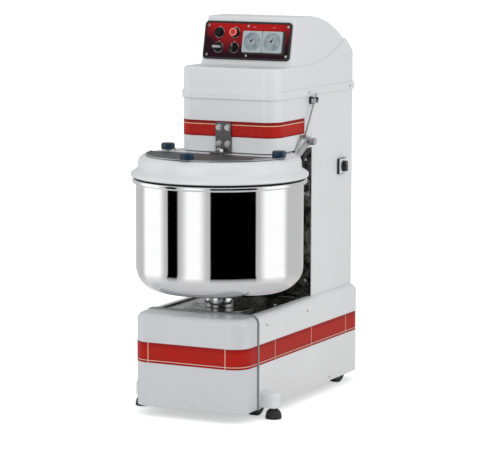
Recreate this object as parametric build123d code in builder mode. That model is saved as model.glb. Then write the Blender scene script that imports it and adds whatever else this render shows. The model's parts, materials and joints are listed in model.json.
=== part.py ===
from build123d import *
import math
import os

# Floor-standing spiral dough mixer with a fixed bowl, in millimetres, +Z up, front facing -Y.
# Every piece is drawn about the bowl's axis (x 0, y 0, floor at z 0) and is moved, as it is
# saved, so that the saved origin lies on the floor under the middle of the machine.

# ---- Driving dimensions --------------------------------------------------------------------
LID_FLANGE_RADIUS = 291
HEAD_REAR = 690
TO_MIDDLE = Location((0, -(HEAD_REAR - LID_FLANGE_RADIUS) / 2, 0))

SHEET = 2.5                 # sheet metal covers
MOULDING = 4                # moulded plastic covers
FIT = 0.3                   # assembly gap between neighbouring pieces
RUNNING_FIT = 0.05          # radial clearance of a shaft in its bearing

# Base
BASE_HALF_WIDTH = 203
BASE_BOTTOM = 32
BASE_TOP = 337
BASE_FRONT = -236
BASE_REAR = 677
BASE_FRONT_CORNER = 60
BASE_REAR_CORNER = 35
BASE_SHOULDER = 24
SEAM_FRONT = -130
SEAM_REAR = -122
DECK_TOP = 330
DECK_HALF_WIDTH = 165
TRAY_TOP = 106

# Running gear
WHEEL_RADIUS = 46
WHEEL_X = 165
WHEEL_WIDTH = 30
FRONT_AXLE_Y = -65
REAR_AXLE_Y = 570
AXLE_RADIUS = 10
FOOT_X = 240
FOOT_Y = -85
FOOT_RADIUS = 26.5
FOOT_HEIGHT = 36
FOOT_STEM_RADIUS = 8

# Bowl
BOWL_RADIUS = 275
BOWL_WALL = 3
BOWL_BOTTOM = 396
BOWL_CORNER = 80
RIM_RADIUS = 9
RIM_CENTRE = 757
HUB_RADIUS = 48
HUB_SHAFT_RADIUS = 25
BOWL_HOUSING_BOTTOM = 215
HOUSING_FLANGE_RADIUS = 116

# Bowl drive
BOWL_PULLEY_RADIUS = 130
BOWL_MOTOR_PULLEY_RADIUS = 40
BOWL_MOTOR_Y = 230
BOWL_BELT_LEVEL = 178
BELT_THICKNESS = 7
BELT_WIDTH = 14

# Guide rollers
ROLLER_X = 150
ROLLER_Y = 263
ROLLER_LEVEL = 694
ROLLER_WIDTH = 21
ROLLER_PIN_RADIUS = 6

# Column and head
COLUMN_HALF_WIDTH = 178.5
COLUMN_FRONT = 331
COLUMN_REAR = 668
HEAD_FRONT = 48
HEAD_CORNER = 53
HEAD_BOTTOM = 843
HEAD_SEAM = 1017
LIP_TOP = 1044
LIP_PROUD = 5.5
HEAD_LEDGE = 1121
HEAD_BODY_REAR = HEAD_REAR - LIP_PROUD
HEAD_REAR_CORNER = 32
CONSOLE_TOP = 1281
CONSOLE_FOOT_Y = 193
CONSOLE_BROW_Y = 228
CONSOLE_FOOT_HALF = 171
CONSOLE_BROW_HALF = 162
CROWN_START_Y = 330
CROWN_RADIUS = 500
RISE_START_Y = 301
RISE_RADIUS = 700

# Spiral drive
SPIRAL_Y = 150
SPIRAL_RADIUS = 84
SPIRAL_BAR = 14
SPIRAL_KNUCKLE = 17
SPIRAL_SHAFT_RADIUS = 25
SPIRAL_HOUSING_RADIUS = 62
SPIRAL_FLANGE_RADIUS = 84
SPIRAL_SEAT_RADIUS = 48
BEARER_HOLE_RADIUS = 60
AXLE_HOLE_REACH = 200
SPIRAL_PULLEY_RADIUS = 90
SPIRAL_MOTOR_PULLEY_RADIUS = 30
SPIRAL_MOTOR_Y = 480
SPIRAL_BELT_LEVELS = (966, 984)
BEARING_PLATE_TOP = 917

# Lid and breaker bar
LID_BOTTOM = 771
LID_TOP = 840
LID_WALL = 3
LID_BACK_Y = -16
LID_WING_X = 187
REAR_COVER_FRONT = -10
REAR_COVER_HALF = 180
PIVOT_Y = 296
PIVOT_Z = 867
PIVOT_RADIUS = 8
PIVOT_CAP_RADIUS = 12.5
PIVOT_CAP_END = 206
BAR_X = -9
BAR_Y = 14
BAR_RADIUS = 17
STAY_PIN = (239, 886)
STAY_CLAMP = (316, 1003)
STAY_X = 194
STAY_RADIUS = 3
STAY_SWAY = 4.2
STAY_PIN_RADIUS = 4

# Control panel, drawn on the console's sloping face
FACE_TILT = math.degrees(math.atan2(CONSOLE_BROW_Y - CONSOLE_FOOT_Y, CONSOLE_TOP - HEAD_LEDGE))
PANEL_MIDDLE = 1200
PANEL_X = -4
PANEL_WIDTH = 322
PANEL_HEIGHT = 129
PANEL_SHEET = 2
CONTROL_COLUMNS = (-108.5, -50)
CONTROL_ROWS = (25.6, -24.6)
CONTROL_RADIUS = 18.5
BARREL_RADIUS = 11
STEM_RADIUS = 8
CAP_RADIUS = 14
TIMER_COLUMNS = (18, 91.5)
TIMER_ROW = -3.6
TIMER_SIZE = 72
TIMER_DEPTH = 8
SCREW_RADIUS = 5
SHANK_RADIUS = 2.4
PANEL_SCREWS = [(x, y) for x in (-147, 0, 147) for y in (-49.5, 49.5)]

os.makedirs("parts", exist_ok=True)


def save(piece, label):
    """Label a finished piece, move it to the shared origin and write it."""
    piece.part.label = label
    export_step(piece.part.moved(TO_MIDDLE), f"parts/{label}.step")


def face_y(height):
    """Front of the console's sloping face at a height."""
    slope = (CONSOLE_BROW_Y - CONSOLE_FOOT_Y) / (CONSOLE_TOP - HEAD_LEDGE)
    return CONSOLE_FOOT_Y + slope * (height - HEAD_LEDGE)


def face_plane(standoff):
    """Plane parallel to the console's face, standoff in front of it."""
    tilt = math.radians(FACE_TILT)
    face = Plane(
        origin=(0, face_y(PANEL_MIDDLE), PANEL_MIDDLE),
        x_dir=(1, 0, 0),
        z_dir=(0, -math.cos(tilt), math.sin(tilt)),
    )
    return face.offset(standoff)


def disc(radius, bottom, top, x=0, y=0):
    """Upright cylinder between two heights."""
    with BuildPart() as piece:
        with BuildSketch(Plane.XY.offset(bottom)):
            with Locations((x, y)):
                Circle(radius)
        extrude(amount=top - bottom)
    return piece.part


def block(x_range, y_range, z_range):
    """Square-cornered block between three pairs of limits."""
    middle_x = (x_range[0] + x_range[1]) / 2
    middle_y = (y_range[0] + y_range[1]) / 2
    with BuildPart() as piece:
        with BuildSketch(Plane.XY.offset(z_range[0])):
            with Locations((middle_x, middle_y)):
                Rectangle(x_range[1] - x_range[0], y_range[1] - y_range[0])
        extrude(amount=z_range[1] - z_range[0])
    return piece.part


def cross_rod(radius, x_from, x_to, y, z):
    """Cylinder lying along X."""
    with BuildPart() as piece:
        with BuildSketch(Plane.YZ.offset(x_from)):
            with Locations((y, z)):
                Circle(radius)
        extrude(amount=x_to - x_from)
    return piece.part


# ---- Base covers ---------------------------------------------------------------------------
def base_block(inset):
    """Solid inside the base's outer skin, moved inward all round by inset."""
    half = BASE_HALF_WIDTH - inset
    front = BASE_FRONT + inset
    rear = BASE_REAR - inset
    with BuildPart() as body:
        with BuildSketch(Plane.XY.offset(BASE_BOTTOM - inset)):
            with Locations((0, (front + rear) / 2)):
                Rectangle(2 * half, rear - front)
        extrude(amount=BASE_TOP - BASE_BOTTOM)
        uprights = body.edges().filter_by(Axis.Z)
        fillet(uprights.sort_by(Axis.Y)[:2], BASE_FRONT_CORNER - inset)
        fillet(uprights.sort_by(Axis.Y)[2:], BASE_REAR_CORNER - inset)
        fillet(body.faces().sort_by(Axis.Z)[-1].edges(), BASE_SHOULDER - inset)
    return body.part


BASE_SCREWS = ((429, 45), (250, 300), (-60, 300))

with BuildPart() as base_shell:
    add(base_block(0))
    add(base_block(SHEET), mode=Mode.SUBTRACT)
    add(
        block((-300, 300), (-300, SEAM_REAR + FIT), (0, BASE_TOP + 1)),
        mode=Mode.SUBTRACT,
    )
    add(
        block((-DECK_HALF_WIDTH - 1, DECK_HALF_WIDTH + 1), (-300, 640), (300, BASE_TOP + 1)),
        mode=Mode.SUBTRACT,
    )
    with BuildSketch(Plane.YZ):
        with Locations(*BASE_SCREWS):
            Circle(SHANK_RADIUS + FIT)
    extrude(amount=BASE_HALF_WIDTH + 1, both=True, mode=Mode.SUBTRACT)
save(base_shell, "base_shell")

with BuildPart() as base_front_cover:
    add(base_block(0))
    add(base_block(MOULDING), mode=Mode.SUBTRACT)
    add(block((-300, 300), (SEAM_FRONT - FIT, 700), (0, BASE_TOP + 1)), mode=Mode.SUBTRACT)
save(base_front_cover, "base_front_cover")

GASKET_PROUD = 4
GASKET_INNER = 6

with BuildPart() as base_seam_gasket:
    with BuildSketch(Plane.XZ.offset(-SEAM_REAR)) as gasket_section:
        gasket_height = BASE_TOP + GASKET_PROUD - BASE_BOTTOM
        with Locations((0, BASE_BOTTOM + gasket_height / 2)):
            Rectangle(2 * (BASE_HALF_WIDTH + GASKET_PROUD), gasket_height)
        fillet(
            gasket_section.vertices().group_by(Axis.Y)[-1],
            BASE_SHOULDER + GASKET_PROUD,
        )
        with Locations((0, BASE_BOTTOM + gasket_height / 2 - GASKET_INNER - GASKET_PROUD)):
            Rectangle(2 * (BASE_HALF_WIDTH - GASKET_INNER), gasket_height, mode=Mode.SUBTRACT)
    extrude(amount=SEAM_REAR - SEAM_FRONT)
save(base_seam_gasket, "base_seam_gasket")

with BuildPart() as base_deck_plate:
    with BuildSketch(Plane.XY.offset(DECK_TOP - 4)):
        deck_front = SEAM_REAR + FIT
        deck_rear = COLUMN_FRONT - FIT
        with Locations((0, (deck_front + deck_rear) / 2)):
            Rectangle(2 * DECK_HALF_WIDTH, deck_rear - deck_front)
        Circle(60, mode=Mode.SUBTRACT)
        with Locations((131, 147), (-131, 147), (131, -90), (-131, -90)):
            Circle(SHANK_RADIUS + FIT, mode=Mode.SUBTRACT)
    extrude(amount=4)
save(base_deck_plate, "base_deck_plate")

BASE_BAND_BOTTOM = 176.5
BASE_BAND_TOP = 242.8
BAND_GAP = 0.2
BAND_PROUD = 1.0


def base_band_block(proud):
    """Prism around the base, standing proud of its skin, as tall as the band."""
    half = BASE_HALF_WIDTH + proud
    front = BASE_FRONT - proud
    rear = BASE_REAR + 40
    with BuildPart() as body:
        with BuildSketch(Plane.XY.offset(BASE_BAND_BOTTOM)):
            with Locations((0, (front + rear) / 2)):
                Rectangle(2 * half, rear - front)
        extrude(amount=BASE_BAND_TOP - BASE_BAND_BOTTOM)
        fillet(
            body.edges().filter_by(Axis.Z).sort_by(Axis.Y)[:2],
            BASE_FRONT_CORNER + proud,
        )
    return body.part


with BuildPart() as base_bands:
    add(base_band_block(BAND_PROUD))
    add(base_band_block(BAND_GAP), mode=Mode.SUBTRACT)
    add(block((-300, 300), (SEAM_FRONT, SEAM_REAR), (0, 400)), mode=Mode.SUBTRACT)
    add(
        block((-300, 300), (BASE_REAR - BASE_REAR_CORNER, 800), (0, 400)),
        mode=Mode.SUBTRACT,
    )
save(base_bands, "base_bands")

# ---- Feet and wheels -----------------------------------------------------------------------
BOSS_RADIUS = 24
BOSS_TOP = 88


def foot_boss(side):
    """Moulded boss on one side of the base that carries a levelling foot."""
    inner = BASE_HALF_WIDTH + FIT
    with BuildPart() as boss:
        with BuildSketch(Plane.XY.offset(FOOT_HEIGHT + 1)):
            with Locations((side * (inner + FOOT_X) / 2, FOOT_Y)):
                Rectangle(FOOT_X - inner, 2 * BOSS_RADIUS)
            with Locations((side * FOOT_X, FOOT_Y)):
                Circle(BOSS_RADIUS)
        extrude(amount=BOSS_TOP - FOOT_HEIGHT - 1)
        roof = boss.faces().sort_by(Axis.Z)[-1]
        wall_edge = roof.edges().sort_by(Axis.X)[0 if side > 0 else -1]
        fillet([edge for edge in roof.edges() if edge != wall_edge], 14)
        with Locations((side * FOOT_X, FOOT_Y, FOOT_HEIGHT + 1)):
            Cylinder(
                FOOT_STEM_RADIUS + FIT,
                40,
                align=(Align.CENTER, Align.CENTER, Align.MIN),
                mode=Mode.SUBTRACT,
            )
    return boss.part


with BuildPart() as foot_bosses:
    add(foot_boss(1))
    add(foot_boss(-1))
save(foot_bosses, "foot_bosses")


def levelling_foot(side):
    """Domed rubber foot on a threaded stem."""
    with BuildPart() as foot:
        with BuildSketch(Plane.XZ) as foot_profile:
            with BuildLine():
                Polyline(
                    (0, 0),
                    (FOOT_RADIUS - 2, 0),
                    (FOOT_RADIUS, 2),
                    (FOOT_RADIUS, 11),
                )
                ThreePointArc((FOOT_RADIUS, 11), (20, 27), (FOOT_STEM_RADIUS, FOOT_HEIGHT))
                Polyline(
                    (FOOT_STEM_RADIUS, FOOT_HEIGHT),
                    (FOOT_STEM_RADIUS, FOOT_HEIGHT + 38),
                    (0, FOOT_HEIGHT + 38),
                    (0, 0),
                )
            make_face()
        revolve(axis=Axis.Z)
    moved = foot.part.moved(Location((side * FOOT_X, FOOT_Y, 0)))
    with BuildPart() as placed:
        add(moved)
    return placed


left_foot = levelling_foot(-1)
save(left_foot, "left_foot")
right_foot = levelling_foot(1)
save(right_foot, "right_foot")


def wheelset(y):
    """Two wheels fixed to one turning axle."""
    with BuildPart() as wheels:
        add(cross_rod(AXLE_RADIUS, -190, 190, y, WHEEL_RADIUS))
        for side in (-1, 1):
            inner = side * WHEEL_X - WHEEL_WIDTH / 2
            add(cross_rod(WHEEL_RADIUS, inner, inner + WHEEL_WIDTH, y, WHEEL_RADIUS))
        rims = wheels.edges().filter_by(GeomType.CIRCLE)
        fillet(rims.filter_by(lambda edge: abs(edge.radius - WHEEL_RADIUS) < 0.1), 4)
    return wheels


front_wheelset = wheelset(FRONT_AXLE_Y)
save(front_wheelset, "front_wheelset")
rear_wheelset = wheelset(REAR_AXLE_Y)
save(rear_wheelset, "rear_wheelset")

# ---- Machine frames ------------------------------------------------------------------------
POST_X = (155, 185)
EAR_OFFSETS = (-25, 19)     # inner and outer ear, from the wheel's middle plane
EAR_THICKNESS = 6

TRAY_THICKNESS = 6
TRAY_BOTTOM = TRAY_TOP - TRAY_THICKNESS
BASE_POST_SPANS = ((-110, -80), (285, 315))
BEARER_BOTTOM = 300
BEARER_TOP = 312

with BuildPart() as base_frame:
    with BuildSketch(Plane.XY.offset(TRAY_BOTTOM)) as tray_outline:
        tray_front = BASE_FRONT + 10
        tray_rear = BASE_REAR - 15
        with Locations((0, (tray_front + tray_rear) / 2)):
            Rectangle(2 * (BASE_HALF_WIDTH - 8), tray_rear - tray_front)
        fillet(tray_outline.vertices().group_by(Axis.Y)[0], BASE_FRONT_CORNER)
        fillet(tray_outline.vertices().group_by(Axis.Y)[-1], BASE_REAR_CORNER)
    extrude(amount=TRAY_THICKNESS)
    for side in (-1, 1):
        for axle_y in (FRONT_AXLE_Y, REAR_AXLE_Y):
            for ear in EAR_OFFSETS:
                ear_x = sorted((side * (WHEEL_X + ear), side * (WHEEL_X + ear + EAR_THICKNESS)))
                add(block(ear_x, (axle_y - 20, axle_y + 20), (WHEEL_RADIUS - 14, TRAY_BOTTOM)))
        post = sorted((side * POST_X[0], side * POST_X[1]))
        for span in BASE_POST_SPANS:
            add(block(post, span, (TRAY_TOP, BEARER_BOTTOM)))
    add(block((-POST_X[1], POST_X[1]), (-112, 322), (BEARER_BOTTOM, BEARER_TOP)))
    add(disc(BEARER_HOLE_RADIUS, BEARER_BOTTOM - 10, BEARER_TOP + 8), mode=Mode.SUBTRACT)
    for axle_y in (FRONT_AXLE_Y, REAR_AXLE_Y):
        add(
            cross_rod(
                AXLE_RADIUS + RUNNING_FIT, -AXLE_HOLE_REACH, AXLE_HOLE_REACH, axle_y, WHEEL_RADIUS
            ),
            mode=Mode.SUBTRACT,
        )
save(base_frame, "base_frame")

COLUMN_POST_X = (130, 163)
COLUMN_POST_SPANS = ((345, 378), (600, 633))
BEARING_PLATE_BOTTOM = 905
BEARING_PLATE_FRONT = 70
BEARING_PLATE_REAR = 640
RAIL_X = (148, 158)
RAIL_TOP = 955

with BuildPart() as column_frame:
    for side in (-1, 1):
        post = sorted((side * COLUMN_POST_X[0], side * COLUMN_POST_X[1]))
        rail = sorted((side * RAIL_X[0], side * RAIL_X[1]))
        for span in COLUMN_POST_SPANS:
            add(block(post, span, (TRAY_TOP + FIT, BEARING_PLATE_BOTTOM)))
        add(block(rail, (105, BEARING_PLATE_REAR), (BEARING_PLATE_TOP, RAIL_TOP)))
    with BuildSketch(Plane.XY.offset(BEARING_PLATE_BOTTOM)) as bearing_plate:
        with Locations((0, (BEARING_PLATE_FRONT + BEARING_PLATE_REAR) / 2)):
            Rectangle(320, BEARING_PLATE_REAR - BEARING_PLATE_FRONT)
        fillet(bearing_plate.vertices().group_by(Axis.Y)[0], 38)
        with Locations((0, SPIRAL_Y)):
            Circle(SPIRAL_HOUSING_RADIUS + FIT, mode=Mode.SUBTRACT)
        with Locations((0, SPIRAL_MOTOR_Y)):
            Circle(45, mode=Mode.SUBTRACT)
    extrude(amount=BEARING_PLATE_TOP - BEARING_PLATE_BOTTOM)
    for side in (-1, 1):
        post = sorted((side * COLUMN_POST_X[0], side * COLUMN_POST_X[1]))
        add(block(post, (345, 633), (BEARING_PLATE_BOTTOM, BEARING_PLATE_TOP)))
save(column_frame, "column_frame")

# ---- Column covers -------------------------------------------------------------------------
VENT_LEVELS = (470, 900)
VENT_PITCH = 17
VENT_ROWS = 7
VENT_LENGTH = 190
VENT_WIDTH = 7
COLUMN_FRONT_SCREWS = ((155, 390), (-155, 390), (155, 800), (-155, 800))


def column_block(inset):
    """Solid inside the column's outer skin, moved inward on its sides and rear by inset."""
    half = COLUMN_HALF_WIDTH - inset
    rear = COLUMN_REAR - inset
    with BuildPart() as body:
        with BuildSketch(Plane.XY.offset(BASE_TOP + FIT)) as outline:
            with Locations((0, (COLUMN_FRONT + rear) / 2)):
                Rectangle(2 * half, rear - COLUMN_FRONT)
            fillet(outline.vertices().group_by(Axis.Y)[-1], 12 - inset)
        extrude(amount=HEAD_SEAM - BASE_TOP - 2 * FIT)
    return body.part


with BuildPart() as column_shell:
    add(column_block(0))
    add(column_block(SHEET), mode=Mode.SUBTRACT)
    with BuildSketch(Plane.XZ.offset(-COLUMN_REAR - 1)):
        for level in VENT_LEVELS:
            with Locations((0, level)):
                with GridLocations(0, VENT_PITCH, 1, VENT_ROWS):
                    SlotOverall(VENT_LENGTH, VENT_WIDTH)
    extrude(amount=SHEET + 2, mode=Mode.SUBTRACT)
save(column_shell, "column_shell")

with BuildPart() as column_front_panel:
    with BuildSketch(Plane.XZ.offset(-COLUMN_FRONT - 2)):
        panel_height = HEAD_BOTTOM - BASE_TOP - 2
        with Locations((0, BASE_TOP + 1 + panel_height / 2)):
            Rectangle(2 * (COLUMN_HALF_WIDTH - SHEET - FIT), panel_height)
        with Locations(*COLUMN_FRONT_SCREWS):
            Circle(SHANK_RADIUS + FIT, mode=Mode.SUBTRACT)
    extrude(amount=2)
save(column_front_panel, "column_front_panel")

# ---- Lower head cover, its band and the bowl's rear cover ----------------------------------
BRACKET_X = -8.75
BRACKET_BOLTS = (
    (BRACKET_X - 16, 871),
    (BRACKET_X + 16, 871),
    (BRACKET_X - 16, 925),
    (BRACKET_X + 16, 925),
)
BOLT_RADIUS = 4


def head_block(inset, bottom, top, rear):
    """Solid inside the head's straight walls, with rounded front corners."""
    half = COLUMN_HALF_WIDTH - inset
    front = HEAD_FRONT + inset
    with BuildPart() as body:
        with BuildSketch(Plane.XY.offset(bottom)) as outline:
            with Locations((0, (front + rear) / 2)):
                Rectangle(2 * half, rear - front)
            fillet(outline.vertices().group_by(Axis.Y)[0], HEAD_CORNER - inset)
        extrude(amount=top - bottom)
    return body.part


def bolt_holes(sketch_points, radius, y_from, y_to):
    """Round bars along Y, used to pierce the head's front."""
    with BuildPart() as bars:
        with BuildSketch(Plane.XZ.offset(-y_from)):
            with Locations(*sketch_points):
                Circle(radius)
        extrude(amount=y_from - y_to)
    return bars.part


with BuildPart() as head_lower_cover:
    add(head_block(0, HEAD_BOTTOM, HEAD_SEAM - FIT, COLUMN_FRONT - FIT))
    add(
        head_block(MOULDING, HEAD_BOTTOM + MOULDING, HEAD_SEAM, COLUMN_FRONT),
        mode=Mode.SUBTRACT,
    )
    fillet(
        head_lower_cover.edges().group_by(Axis.Z)[0].sort_by(Axis.Y)[:3],
        2,
    )
    add(disc(SPIRAL_HOUSING_RADIUS + 8, 800, 860, 0, SPIRAL_Y), mode=Mode.SUBTRACT)
    add(bolt_holes(BRACKET_BOLTS, BOLT_RADIUS + FIT, 60, 30), mode=Mode.SUBTRACT)
save(head_lower_cover, "head_lower_cover")

HEAD_BAND_BOTTOM = 894.3
HEAD_BAND_TOP = 945.7
HEAD_BAND_END = 268

with BuildPart() as head_band:
    add(head_block(-BAND_PROUD, HEAD_BAND_BOTTOM, HEAD_BAND_TOP, HEAD_BAND_END))
    add(
        head_block(-BAND_GAP, HEAD_BAND_BOTTOM - 1, HEAD_BAND_TOP + 1, HEAD_BAND_END + 1),
        mode=Mode.SUBTRACT,
    )
    add(bolt_holes(BRACKET_BOLTS, BOLT_RADIUS + FIT, 60, 30), mode=Mode.SUBTRACT)
save(head_band, "head_band")


DOME_RADIUS = 266
DOME_CORNER = 22


def dome():
    """Turned body filling the bowl cover's outer skin."""
    with BuildPart() as body:
        with BuildSketch(Plane.XZ) as outline:
            with BuildLine():
                Polyline(
                    (0, LID_BOTTOM),
                    (LID_FLANGE_RADIUS, LID_BOTTOM),
                    (LID_FLANGE_RADIUS, LID_BOTTOM + 12),
                    (DOME_RADIUS + 3, LID_BOTTOM + 27),
                    (DOME_RADIUS, LID_TOP),
                    (0, LID_TOP),
                    (0, LID_BOTTOM),
                )
            make_face()
            corners = outline.vertices().sort_by(Axis.X)
            chamfer(corners[-1:-3:-1], 3)
            fillet(outline.vertices().sort_by_distance((DOME_RADIUS + 3, LID_BOTTOM + 27))[0], 10)
            fillet(outline.vertices().sort_by_distance((DOME_RADIUS, LID_TOP))[0], DOME_CORNER)
        revolve(axis=Axis.Z)
    return body.part


def dome_hollow():
    """The space under the bowl cover, inside its wall and its solid flange."""
    with BuildPart() as body:
        add(disc(DOME_RADIUS - LID_WALL, LID_BOTTOM - 5, LID_TOP - LID_WALL))
        fillet(body.faces().sort_by(Axis.Z)[-1].edges(), DOME_CORNER - LID_WALL)
    return body.part


def head_gap(half, front):
    """The part of the cover that lies under the head and stays still."""
    return block((-half, half), (front, 400), (700, 900))


def rear_hollow():
    """The space under the part of the cover that stays still."""
    with BuildPart() as body:
        add(dome_hollow())
        add(
            head_gap(REAR_COVER_HALF - LID_WALL, REAR_COVER_FRONT + LID_WALL),
            mode=Mode.INTERSECT,
        )
    return body.part


with BuildPart() as rear_bowl_cover:
    add(dome())
    add(head_gap(REAR_COVER_HALF, REAR_COVER_FRONT), mode=Mode.INTERSECT)
    add(rear_hollow(), mode=Mode.SUBTRACT)
    add(disc(SPIRAL_SHAFT_RADIUS + 20, 760, 860, 0, SPIRAL_Y), mode=Mode.SUBTRACT)
    add(disc(BAR_RADIUS + 1.5, 760, 860, BAR_X, BAR_Y), mode=Mode.SUBTRACT)
save(rear_bowl_cover, "rear_bowl_cover")

# ---- Upper head cover ----------------------------------------------------------------------
SHOULDER_FILLET = 9
CONSOLE_FILLET = 7
CONSOLE_ROOT = HEAD_LEDGE - 40


def crown_z(y):
    """Height of the console's rear arc."""
    return CONSOLE_TOP - CROWN_RADIUS + math.sqrt(CROWN_RADIUS**2 - (y - CROWN_START_Y) ** 2)


def rise_z(y):
    """Height of the ledge where it sweeps up towards the rear."""
    return HEAD_LEDGE + RISE_RADIUS - math.sqrt(RISE_RADIUS**2 - (y - RISE_START_Y) ** 2)


def rise_end_y():
    """Where the rising ledge meets the crown."""
    low, high = CROWN_START_Y, HEAD_BODY_REAR
    for _ in range(40):
        middle = (low + high) / 2
        if rise_z(middle) < crown_z(middle):
            low = middle
        else:
            high = middle
    return low


def head_plan(inset):
    """Upright prism with the head's plan, moved inward by inset."""
    half = COLUMN_HALF_WIDTH - inset
    front = HEAD_FRONT + inset
    rear = HEAD_BODY_REAR - inset
    with BuildPart() as body:
        with BuildSketch(Plane.XY.offset(HEAD_SEAM + FIT - inset)) as outline:
            with Locations((0, (front + rear) / 2)):
                Rectangle(2 * half, rear - front)
            fillet(outline.vertices().group_by(Axis.Y)[0], HEAD_CORNER - inset)
            fillet(outline.vertices().group_by(Axis.Y)[-1], HEAD_REAR_CORNER - inset)
        extrude(amount=CONSOLE_TOP - HEAD_SEAM)
    return body.part


def head_body(inset):
    """The head's wide body up to its ledge, moved inward by inset."""
    meet = rise_end_y()
    half_way = (RISE_START_Y + meet) / 2
    rear_way = (meet + HEAD_REAR) / 2
    floor = HEAD_SEAM - 20
    with BuildPart() as body:
        with BuildSketch(Plane.YZ):
            with BuildLine():
                Polyline(
                    (HEAD_FRONT - 20, floor),
                    (HEAD_FRONT - 20, HEAD_LEDGE - inset),
                    (RISE_START_Y, HEAD_LEDGE - inset),
                )
                ThreePointArc(
                    (RISE_START_Y, HEAD_LEDGE - inset),
                    (half_way, rise_z(half_way) - inset),
                    (meet, crown_z(meet) - inset),
                )
                ThreePointArc(
                    (meet, crown_z(meet) - inset),
                    (rear_way, crown_z(rear_way) - inset),
                    (HEAD_REAR, crown_z(HEAD_REAR) - inset),
                )
                Polyline(
                    (HEAD_REAR, crown_z(HEAD_REAR) - inset),
                    (HEAD_REAR, floor),
                    (HEAD_FRONT - 20, floor),
                )
            make_face()
        extrude(amount=COLUMN_HALF_WIDTH, both=True)
        add(head_plan(inset), mode=Mode.INTERSECT)
        if inset == 0:
            shoulders = body.edges().filter_by(
                lambda edge: edge.bounding_box().min.Z > LIP_TOP
                and edge.bounding_box().max.X - edge.bounding_box().min.X < 2 * CONSOLE_FOOT_HALF
            )
            fillet(shoulders, SHOULDER_FILLET)
    return body.part


def on_crest(edge):
    """Whether an edge borders the console's flat top, apart from the line where the crown starts."""
    box = edge.bounding_box()
    reaches_top = box.max.Z > CONSOLE_TOP - 1
    return reaches_top and (box.min.Y < CROWN_START_Y - 1 or box.size.X < 30)


def console(inset):
    """The raised console behind the control panel, moved inward by inset."""
    crown_way = (CROWN_START_Y + HEAD_REAR) / 2
    root = CONSOLE_ROOT
    with BuildPart() as body:
        with BuildSketch(Plane.YZ):
            with BuildLine():
                Polyline(
                    (face_y(root) + inset, root),
                    (CONSOLE_BROW_Y + inset, CONSOLE_TOP - inset),
                    (CROWN_START_Y, CONSOLE_TOP - inset),
                )
                ThreePointArc(
                    (CROWN_START_Y, CONSOLE_TOP - inset),
                    (crown_way, crown_z(crown_way) - inset),
                    (HEAD_REAR, crown_z(HEAD_REAR) - inset),
                )
                Polyline(
                    (HEAD_REAR, crown_z(HEAD_REAR) - inset),
                    (HEAD_REAR, root),
                    (face_y(root) + inset, root),
                )
            make_face()
        extrude(amount=COLUMN_HALF_WIDTH, both=True)
        with BuildSketch(Plane.XZ):
            lean = (CONSOLE_FOOT_HALF - CONSOLE_BROW_HALF) / (CONSOLE_TOP - HEAD_LEDGE)
            Polygon(
                (-CONSOLE_FOOT_HALF - 40 * lean + inset, root),
                (CONSOLE_FOOT_HALF + 40 * lean - inset, root),
                (CONSOLE_BROW_HALF - inset, CONSOLE_TOP),
                (-CONSOLE_BROW_HALF + inset, CONSOLE_TOP),
                align=None,
            )
        extrude(amount=-HEAD_REAR, mode=Mode.INTERSECT)
        add(head_plan(inset), mode=Mode.INTERSECT)
        if inset == 0:
            crest = body.edges().filter_by(on_crest)
            fillet(crest, CONSOLE_FILLET)
    return body.part


def head_lip():
    """Raised lip round the foot of the upper head cover."""
    with BuildPart() as lip:
        add(head_block(-LIP_PROUD, HEAD_SEAM + FIT, LIP_TOP, HEAD_REAR))
        rear_corners = lip.edges().filter_by(Axis.Z).group_by(Axis.Y)[-1]
        fillet(rear_corners, HEAD_REAR_CORNER + LIP_PROUD)
        fillet(lip.faces().sort_by(Axis.Z)[-1].edges(), 4)
        fillet(lip.faces().sort_by(Axis.Z)[0].edges(), 2)
    return lip.part


HOOD_SCREWS = ((292, 1030), (625, 1030))

with BuildPart() as head_upper_cover:
    add(head_body(0))
    add(console(0))
    add(head_lip())
    add(head_body(MOULDING), mode=Mode.SUBTRACT)
    add(console(MOULDING), mode=Mode.SUBTRACT)
    with BuildSketch(face_plane(2)):
        with Locations((PANEL_X, 0)):
            Rectangle(PANEL_WIDTH - 42, PANEL_HEIGHT - 48)
    extrude(amount=-20, mode=Mode.SUBTRACT)
    with BuildSketch(face_plane(2)):
        with Locations((PANEL_X, 0)):
            with Locations(*PANEL_SCREWS):
                Circle(SHANK_RADIUS + FIT)
    extrude(amount=-20, mode=Mode.SUBTRACT)
    with BuildSketch(Plane.YZ):
        with Locations(*HOOD_SCREWS):
            Circle(SHANK_RADIUS + FIT)
    extrude(amount=COLUMN_HALF_WIDTH + 20, both=True, mode=Mode.SUBTRACT)
save(head_upper_cover, "head_upper_cover")

# ---- Bowl and its drive --------------------------------------------------------------------
HUB_FLANGE_RADIUS = 100

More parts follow.
